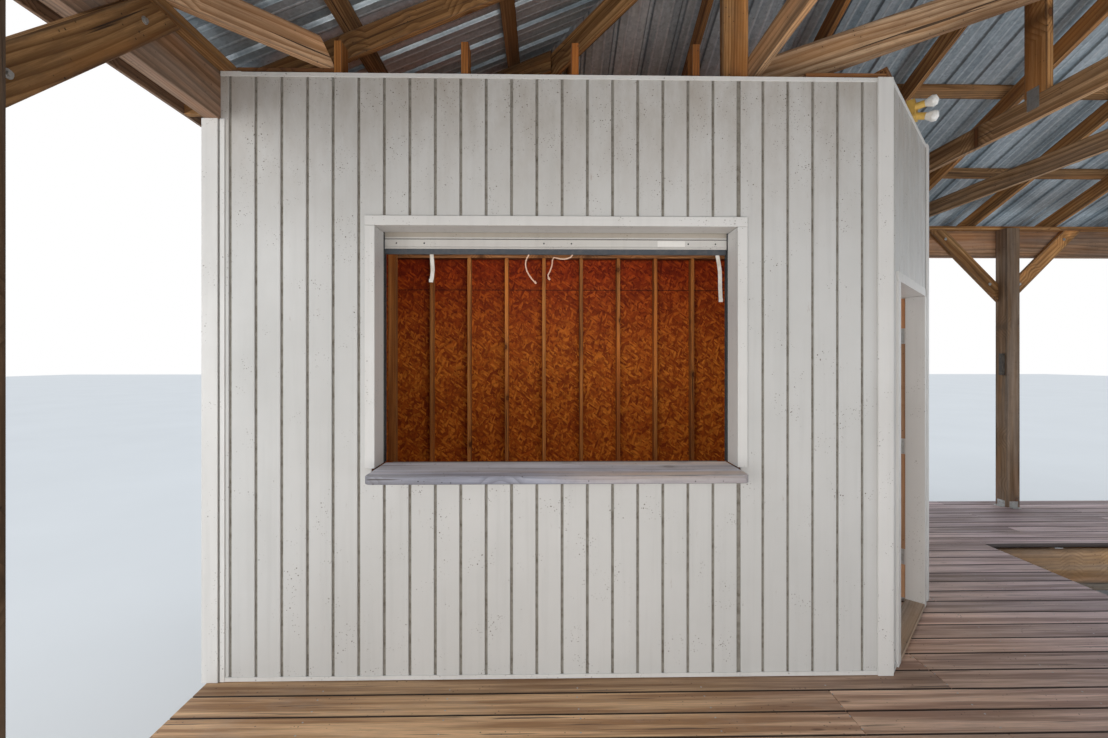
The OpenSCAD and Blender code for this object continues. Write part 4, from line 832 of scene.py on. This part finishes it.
def sheet_material(name, axis):
    s = Shader(name)
    across = s.split(s.place)[axis]
    part = s.maths("FRACT", s.maths("ADD", s.maths("DIVIDE", across, SHEET_RIB), 100.5))
    third = s.maths("ABSOLUTE", s.maths("SUBTRACT", s.maths("FRACT", s.maths("MULTIPLY", part, 3.0)), 0.5))
    low_rib_and_highlight = s.band(third, 0.36, 0.44)
    not_high = s.band(s.maths("ABSOLUTE", s.maths("SUBTRACT", part, 0.5)), 0.34, 0.40, 1.0, 0.0)
    low_rib_and_highlight = s.maths("MULTIPLY", low_rib_and_highlight, not_high)
    cloud = s.noise(s.place, 1.4, 5.0, 0.6)
    stretch = (7.0, 0.7, 0.7) if axis == 0 else (0.7, 7.0, 0.7)
    run = s.noise(s.scaled(s.place, stretch), 1.0, 4.0, 0.65)
    colour = s.mix(s.band(run, 0.32, 0.66), (0.52, 0.58, 0.62), (0.21, 0.27, 0.31))
    colour = s.mix(s.band(cloud, 0.4, 0.7, 0.0, 0.45), colour, (0.20, 0.235, 0.26))
    # Painted shade: a dark line along each flank of a high rib.
    near_high = s.maths("ABSOLUTE", s.maths("SUBTRACT", part, 0.5))
    flank_shade = s.maths("MULTIPLY", s.band(near_high, 0.39, 0.42), s.band(near_high, 0.43, 0.46, 1.0, 0.0))
    # Painted highlight: the low ribs are made paler; the same mask is also their bump.
    colour = s.mix(s.maths("MULTIPLY", low_rib_and_highlight, 0.45), colour, (0.66, 0.72, 0.76))
    colour = s.mix(s.maths("MULTIPLY", flank_shade, 0.6), colour, (0.10, 0.12, 0.14))
    spangle = s.split(s.cells(s.place, 55.0, output="Color"))[0]
    colour = s.mix(0.14, colour, s.grey(spangle), "OVERLAY")
    dots = s.band(s.cells(s.place, 19.0), 0.05, 0.12, 1.0, 0.0)
    few = s.band(s.noise(s.place, 6.0, 2.0), 0.5, 0.58)
    colour = s.mix(s.maths("MULTIPLY", s.maths("MULTIPLY", dots, few), 0.8), colour, (0.09, 0.07, 0.05))
    rust = s.band(s.noise(s.place, 9.0, 6.0, 0.75), 0.68, 0.76, 0.0, 0.5)
    colour = s.mix(rust, colour, (0.20, 0.11, 0.06))
    rough = s.band(run, 0.3, 0.7, 0.30, 0.5)
    return s.done(colour, rough, low_rib_and_highlight, 0.004, metal=0.45, specular=0.5)


SHEET_X = sheet_material("roof_sheet_long", 0)
SHEET_Y = sheet_material("roof_sheet_short", 1)
CAPS = galvanised("roof_caps_metal", (0.50, 0.55, 0.58), (0.34, 0.39, 0.42))


def coat(node, material):
    """Gives a CAD part its material and keeps its shape."""
    nodes[node].data.materials.clear()
    nodes[node].data.materials.append(material)


for node, material in (("roof_far", SHEET_X), ("roof_near", SHEET_X), ("roof_left", SHEET_Y),
                       ("roof_right", SHEET_Y), ("roof_caps", CAPS)):
    coat(node, material)
print("sheets", 4, "ribs every", SHEET_RIB)

# %% [markdown]
# The serving window. Its shutter is rolled up: what shows is the bottom bar, a strip of the last slat above it and a
# dark joint between the two, so the bar is made new from these pieces. It is a hollow pressed bar: rounded at the
# front, with a lip along its foot. The dark joint is painted shade: a dark block behind the gap between bar and slat.

# %% Shutter bar
bar_lo, bar_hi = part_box("shutter_bar")
SLAT_H = 0.008
SLAT_GAP = 0.0035
LIP_H = 0.010
slat_low = bar_hi.z - SLAT_H
bar_top = slat_low - SLAT_GAP
bar = block("bar", (bar_lo.x, bar_lo.y + 0.003, bar_lo.z + LIP_H), (bar_hi.x, bar_hi.y, bar_top), 0.003)
lip = block("lip", (bar_lo.x, bar_lo.y, bar_lo.z), (bar_hi.x, bar_hi.y - 0.002, bar_lo.z + LIP_H), 0.003)
slat = block("slat", (bar_lo.x, bar_lo.y + 0.002, slat_low), (bar_hi.x, bar_hi.y - 0.004, bar_hi.z), 0.002)
# Painted shade: a dark block behind the bar and the slat fills the gap between them.
joint_shade_block = block("joint_shade_block", (bar_lo.x + 0.01, bar_lo.y + 0.009, bar_lo.z + LIP_H), (bar_hi.x - 0.01, bar_hi.y - 0.005, bar_hi.z - 0.001))
shutter_bar = joined("shutter_bar_piece", [bar, lip, slat])
SHUTTER = painted("shutter_paint", (0.57, 0.56, 0.54), (0.48, 0.46, 0.43), speck=0.5, rust=0.2, rough=0.4)
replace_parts(finish(shutter_bar, SHUTTER), "shutter_bar")
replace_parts(finish(joint_shade_block, DARK), "shutter_bar")
SCREW_X = (-4.167, -4.021, -3.390, -3.244, -2.622, -2.477)
screw_z = (bar_lo.z + bar_top) / 2 + 0.004
head = rod("head", (0, 0.002, 0), (0, -0.0015, 0), 0.0045, 12)
bar_screws = copies("bar_screws", bevelled(head, 0.0012, 2), [(x, bar_lo.y + 0.003, screw_z) for x in SCREW_X])
finish(bar_screws, DARK)
patch = block("bar_patch", (-2.786, bar_lo.y + 0.002, bar_lo.z + 0.014), (-2.640, bar_lo.y + 0.004, bar_top - 0.006), 0.0006)
finish(patch, painted("bar_patch_paint", (0.74, 0.73, 0.71), (0.66, 0.64, 0.60), speck=0.3))
coat("shutter_roll", painted("shutter_roll_paint", (0.44, 0.40, 0.345), (0.34, 0.30, 0.25), speck=0.5, rust=0.2))
coat("shutter_rails", DARK)
coat("shutter_seal", SEAL)
print("shutter bar", round(bar_top - bar_lo.z, 3), "m high,", len(SCREW_X), "screws")

# %% [markdown]
# Two straps and two ropes hang out of the rolled shutter. Each is swept along its own line: the
# straps are flat webbing with a sewn end, the ropes end in a small knot. The line in metres from
# the middle of the window's head is the same as in the CAD part.

# %% Straps and ropes
HANG = Vector((-3.3225, 1.184, 2.907))
STRAP_W, STRAP_T, ROPE_R = 0.020, 0.003, 0.0035


def route_of(points):
    return [HANG + Vector((x, 0, z)) / 1000 for x, z in points]


def swept(name, route, section):
    """A closed section pushed along a line in the window's plane, one ring for each point."""
    sides = len(section)
    bpy.ops.mesh.primitive_circle_add(vertices=sides, radius=0.01, fill_type="NGON")
    obj = bpy.context.object
    obj.name = name
    pick(obj)
    bpy.ops.object.mode_set(mode="EDIT")
    bpy.ops.mesh.select_all(action="SELECT")
    for step in range(len(route) - 1):
        bpy.ops.mesh.extrude_region_move(TRANSFORM_OT_translate={"value": (0, 0, 0.01)})
    bpy.ops.object.mode_set(mode="OBJECT")
    verts = sorted(obj.data.vertices, key=lambda v: (round(v.co.z, 4), math.atan2(v.co.y, v.co.x)))
    for number, point in enumerate(route):
        before, after = route[max(number - 1, 0)], route[min(number + 1, len(route) - 1)]
        along = (after - before).normalized()
        side = Vector((0, 1, 0)).cross(along)
        for vert, (a, b) in zip(verts[number * sides:(number + 1) * sides], section):
            vert.co = point + side * a + Vector((0, b, 0))
    bpy.ops.object.mode_set(mode="EDIT")
    bpy.ops.mesh.select_all(action="SELECT")
    bpy.ops.mesh.normals_make_consistent(inside=False)
    bpy.ops.object.mode_set(mode="OBJECT")
    return obj


def round_section(radius, sides=10):
    angles = [-math.pi + 2 * math.pi * (k + 1) / sides for k in range(sides)]
    return [(radius * math.cos(a), radius * math.sin(a)) for a in angles]


def flat_section(width, thick):
    half, deep = width / 2, thick / 2
    return [(-half, -deep), (half, -deep), (half, deep), (-half, deep)]


def webbing_material(name, pale, deep, weave):
    s = Shader(name)
    g = s.attribute("grain")
    parts = s.split(g)
    rib = s.maths("SINE", s.maths("MULTIPLY", s.maths("ADD", parts[0], s.maths("MULTIPLY", parts[1], weave)), 1400.0))
    grime = s.noise(s.place, 26.0, 4.0, 0.65)
    colour = s.mix(s.band(grime, 0.4, 0.7), pale, deep)
    colour = s.mix(s.band(rib, -0.2, 1.0, 0.0, 0.3), colour, tuple(v * 0.5 for v in deep))
    return s.done(colour, s.band(grime, 0.3, 0.7, 0.75, 0.92), rib, 0.0006)


WEBBING = webbing_material("strap_webbing", (0.80, 0.77, 0.72), (0.60, 0.55, 0.48), 0.0)
ROPE = webbing_material("rope_braid", (0.95, 0.69, 0.52), (0.78, 0.50, 0.35), 1.6)
CORDS = {
    "strap_left": [[-661, 0], [-658, -42], [-655, -83], [-659, -118], [-664, -147]],
    "strap_right": [[858, 0], [866, -42], [872, -84], [873, -126], [873, -168], [875, -208], [877, -248]],
    "rope_left": [[-147, 0], [-157, -18], [-163, -34], [-165, -50], [-163, -68], [-157, -88], [-146, -108],
                  [-133, -127], [-115, -147]],
    "rope_right": [[85, 0], [74, -14], [58, -20], [40, -23], [20, -22], [2, -18], [-14, -15], [-22, -28],
                   [-23, -46], [-27, -65], [-35, -87], [-46, -108], [-42, -127]],
}
for name, points in CORDS.items():
    route = route_of(points)
    strap = name.startswith("strap")
    section = flat_section(STRAP_W, STRAP_T) if strap else round_section(ROPE_R)
    piece = finish(add_grain(swept(name + "_piece", route, section)), WEBBING if strap else ROPE)
    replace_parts(piece, name)
    end = route[-1]
    if strap:
        half = Vector((STRAP_W / 2 + 0.0007, STRAP_T, 0.009))
        tip = block(name + "_hem", end - half + Vector((0, 0, 0.008)), end + half + Vector((0, 0, 0.008)), 0.0008)
    else:
        loops = []
        for offset, radius in (((0, 0, 0.002), 0.0062), ((0.004, 0, -0.003), 0.0055)):
            bpy.ops.mesh.primitive_uv_sphere_add(segments=12, ring_count=8, radius=radius, location=end + Vector(offset))
            loops.append(apply_all(bpy.context.object))
        tip = joined(name + "_knot", loops)
    finish(add_grain(tip), WEBBING if strap else ROPE)

# %% [markdown]
# The counter is a thick slab with rounded corners, weathered grey on top and paler and rougher on its front edge. Its
# top is painted lighter and its front and sides darker, as painted light and shade. The CAD part has its shape, so a
# worked copy takes the finish.

# %% Counter
# faces=(0.66, 1.3): painted shade on the counter's front and sides, painted highlight on its top.
COUNTER = wood("counter_grey", (0.58, 0.60, 0.69), (0.34, 0.345, 0.41), knot=(0.22, 0.21, 0.24), dirt=0.5,
               grey=0.35, rough=0.7, stain=(0.24, 0.24, 0.27), faces=(0.66, 1.3))
timber("counter", COUNTER, 0.003)
counter_lo, counter_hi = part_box("counter")
print("counter", round(counter_hi.x - counter_lo.x, 3), "m long")

# %% [markdown]
# The door. Frame and leaf are painted; the far jamb's rabbet was never painted and shows raw wood
# between the hinges. The leaf gets six pressed panels, raised on both faces.

# %% Door
DOOR_PAINT = painted("door_paint", (0.66, 0.63, 0.585), (0.56, 0.53, 0.48), speck=0.6, rust=0.25, streak=0.35)
door_frame = finish(stand_in("door_frame", 0.0015), TRIM)
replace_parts(door_frame, "door_frame")
LEAF_GAP, LEAF_W, LEAF_T, LEAF_IN = 0.005, 0.813, 0.035, 0.095
frame_t = 0.019
door_a, door_b = door_s0 + frame_t, door_s1 - frame_t
hinge = frame["record"]["behaviour"]["joints"][0]["pos_m"]
RAW = wood("raw_pine", (0.66, 0.40, 0.24), (0.50, 0.27, 0.14), dirt=0.2)
jamb_z0, jamb_z1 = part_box("threshold")[1].z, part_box("door_leaf")[1].z
plate_lo, plate_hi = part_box("frame_hinges")
HINGE_H = 0.1
HINGE_Z = (plate_lo.z + HINGE_H / 2, hinge[2], plate_hi.z - HINGE_H / 2)
edges = [jamb_z0] + [z + side * (HINGE_H / 2 + 0.001) for z in HINGE_Z for side in (-1, 1)] + [jamb_z1]
strips = []
for z0, z1 in zip(edges[0::2], edges[1::2]):
    strips.append(block("raw", (door_b - 0.0006, LEAF_IN, z0), (door_b + 0.0004, LEAF_IN + LEAF_T - 0.001, z1)))
rabbet = joined("raw_rabbet", strips)
rabbet.data.transform(angled)
finish(add_grain(rabbet, along=(0, 0, 1)), RAW)

leaf_lo, leaf_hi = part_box("door_leaf")
leaf_s1 = door_b - LEAF_GAP
leaf_s0 = leaf_s1 - LEAF_W
OPEN_DEG = 105
to_pin, from_pin = Matrix.Translation(Vector(hinge)), Matrix.Translation(-Vector(hinge))
swung = to_pin @ Matrix.Rotation(math.radians(-OPEN_DEG), 4, "Z") @ from_pin @ angled
leaf = finish(stand_in("door_leaf", 0.0015), DOOR_PAINT, "door")
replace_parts(leaf, "door_leaf")
STILE, RAIL = 0.11, 0.12
PANEL_T = 0.0035
panel_w = (LEAF_W - 3 * STILE) / 2
panel_rows = ((0.26, 0.60), (0.72, 1.30), (1.42, 1.72))
panels = []
for z0, z1 in panel_rows:
    for column in range(2):
        s0 = leaf_s0 + STILE + column * (panel_w + STILE)
        for n0, n1 in ((LEAF_IN - PANEL_T, LEAF_IN), (LEAF_IN + LEAF_T, LEAF_IN + LEAF_T + PANEL_T)):
            panels.append(block("panel", (s0, n0, leaf_lo.z + z0), (s0 + panel_w, n1, leaf_lo.z + z1), 0.003))
panels = joined("door_panels", panels)
panels.data.transform(swung)
finish(panels, DOOR_PAINT, "door")

PLATE_N = (0.107, 0.118)
head = rod("hinge_screw", (0, 0, 0), (-0.0006, 0, 0), 0.0036, 10)
spots = [(door_b, n, z + dz) for z in HINGE_Z for n in PLATE_N for dz in (-0.036, 0.036)]
frame_screws = copies("frame_hinge_screws", head, spots)
frame_screws.data.transform(angled)
finish(frame_screws, ZINC)
head = rod("hinge_screw", (0, 0, 0), (0.0006, 0, 0), 0.0036, 10)
leaf_screws = copies("leaf_hinge_screws", head, [(leaf_s1, n, z) for _, n, z in spots])
leaf_screws.data.transform(swung)
finish(leaf_screws, ZINC, "door")
coat("frame_hinges", ZINC)
coat("leaf_hinges", BRASS)
coat("door_knobs", BRASS)
print("door clear width", round(door_b - door_a, 4), "hinges at", [round(z, 3) for z in HINGE_Z])

# %% [markdown]
# The flood light, its bulbs and the small box on the far post: the CAD parts have their shapes, so
# worked copies get eased edges and smooth shading.

# %% Lamp and box
def smooth(obj, degrees=35):
    pick(obj)
    bpy.ops.object.shade_smooth_by_angle(angle=math.radians(degrees))
    return obj


for node, material, ease in (("flood_light", LAMP, 0.0015), ("light_bulbs", BULB, 0), ("post_box", BOX, 0.002)):
    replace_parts(finish(smooth(stand_in(node, ease)), material), node)
print("fittings", 3)

# %% [markdown]
# Steel on the timber: an angle bracket on two faces of each post's foot, a bolt with a washer at
# each end of the knee braces, and a nail plate where a strut meets its tie.

# %% Steel fittings
def island_boxes(node):
    """Box and points of each loose piece in the worked copy of a node."""
    mesh = bpy.data.objects[node + "_piece"].data
    boxes = []
    for group in islands(mesh):
        cos = [mesh.vertices[i].co.copy() for i in group]
        lo = Vector([min(co[k] for co in cos) for k in range(3)])
        hi = Vector([max(co[k] for co in cos) for k in range(3)])
        boxes.append((lo, hi, cos))
    return boxes


FLANGE_T, FLANGE_W, FLANGE_H, FLANGE_OUT = 0.003, 0.09, 0.065, 0.05
bolt = joined("bolt", [rod("washer", (0, 0, 0), (0, 0, 0.002), 0.011, 14), rod("head", (0, 0, 0.002), (0, 0, 0.008), 0.0075, 6)])
plates, bolt_places = [], []
deck_z = deck_hi.z
for lo, hi, _ in island_boxes("posts"):
    if lo.z > deck_z + 0.01:
        continue
    mid = (lo + hi) / 2
    for axis, face in ((1, -1), (0, 1 if mid.x < 0 else -1)):
        place = Vector((mid.x, mid.y, deck_z))
        place[axis] = (hi if face > 0 else lo)[axis]
        inside_wall = lo.x < wall_left[1].x and abs(lo.y - front_y) < 0.2
        if inside_wall:
            continue
        across = 1 - axis
        out = Vector((0, 0, 0))
        out[axis] = face
        side = Vector((0, 0, 0))
        side[across] = FLANGE_W / 2
        upright = (place - side, place + side + out * FLANGE_T + Vector((0, 0, FLANGE_H)))
        foot = (place - side, place + side + out * FLANGE_OUT + Vector((0, 0, FLANGE_T)))
        for a, b in (upright, foot):
            low = Vector([min(a[k], b[k]) for k in range(3)])
            high = Vector([max(a[k], b[k]) for k in range(3)])
            plates.append(block("flange", low, high, 0.001))
        turn = out.to_track_quat("Z", "Y").to_matrix().to_4x4()
        for share in (-0.5, 0.5):
            spot = place + side * share + out * FLANGE_T + Vector((0, 0, FLANGE_H * 0.62))
            bolt_places.append(Matrix.Translation(spot) @ turn)
            spot = place + side * share + out * FLANGE_OUT * 0.62 + Vector((0, 0, FLANGE_T))
            bolt_places.append(Matrix.Translation(spot))
finish(joined("post_brackets", plates), ZINC)
finish(copies("bracket_bolts", bolt, bolt_places), ZINC)


def middle(points):
    return (Vector([min(p[k] for p in points) for k in range(3)]) + Vector([max(p[k] for p in points) for k in range(3)])) / 2


big_bolt = joined("big_bolt", [rod("washer", (0, 0, 0), (0, 0, 0.003), 0.015, 18), rod("head", (0, 0, 0.003), (0, 0, 0.011), 0.0095, 6)])
brace_bolts = []
for lo, hi, cos in island_boxes("knee_braces"):
    size = hi - lo
    thin = 0 if size.x < size.y else 1
    level = 1 - thin
    top_end = middle([co for co in cos if co.z > hi.z - 0.004])
    foot_at = (lo if top_end[level] > (lo[level] + hi[level]) / 2 else hi)[level]
    foot_end = middle([co for co in cos if abs(co[level] - foot_at) < 0.004])
    for share in (0.14, 0.86):
        for face in (-1, 1):
            spot = foot_end.lerp(top_end, share)
            spot[thin] = (hi if face > 0 else lo)[thin]
            out = Vector((0, 0, 0))
            out[thin] = face
            brace_bolts.append(Matrix.Translation(spot) @ out.to_track_quat("Z", "Y").to_matrix().to_4x4())
finish(copies("brace_bolts", big_bolt, brace_bolts), ZINC)

NAIL_PLATE_PX = (1033, 99)
FRAME_X = -0.457
NAIL_PLATE_W, NAIL_PLATE_H = 0.075, 0.125


def pixel_ray(u, v):
    """Direction in the world of the line of sight through a pixel of the picture."""
    local = Vector(((u - PICTURE_W / 2) / FOCAL_PX, (HORIZON_PX - v) / FOCAL_PX, -1))
    return camera.rotation_euler.to_matrix() @ local


struts = [box for box in island_boxes("tie_struts") if abs((box[0].x + box[1].x) / 2 - FRAME_X) < 0.08]
strut_face = min(box[0].x for box in struts)
sight = pixel_ray(*NAIL_PLATE_PX)
hit = camera.location + sight * ((strut_face - camera.location.x) / sight.x)
half = Vector((0, NAIL_PLATE_W / 2, NAIL_PLATE_H / 2))
nail_plate = block("nail_plate", hit - half - Vector((0.0012, 0, 0)), hit + half)
finish(nail_plate, ZINC)
print("nail plate at", [round(value, 3) for value in hit])
print("brackets", len(plates) // 2, "bolts", len(bolt_places) + len(brace_bolts))

# %% [markdown]
# The script ends here.

# %% Finish
import json
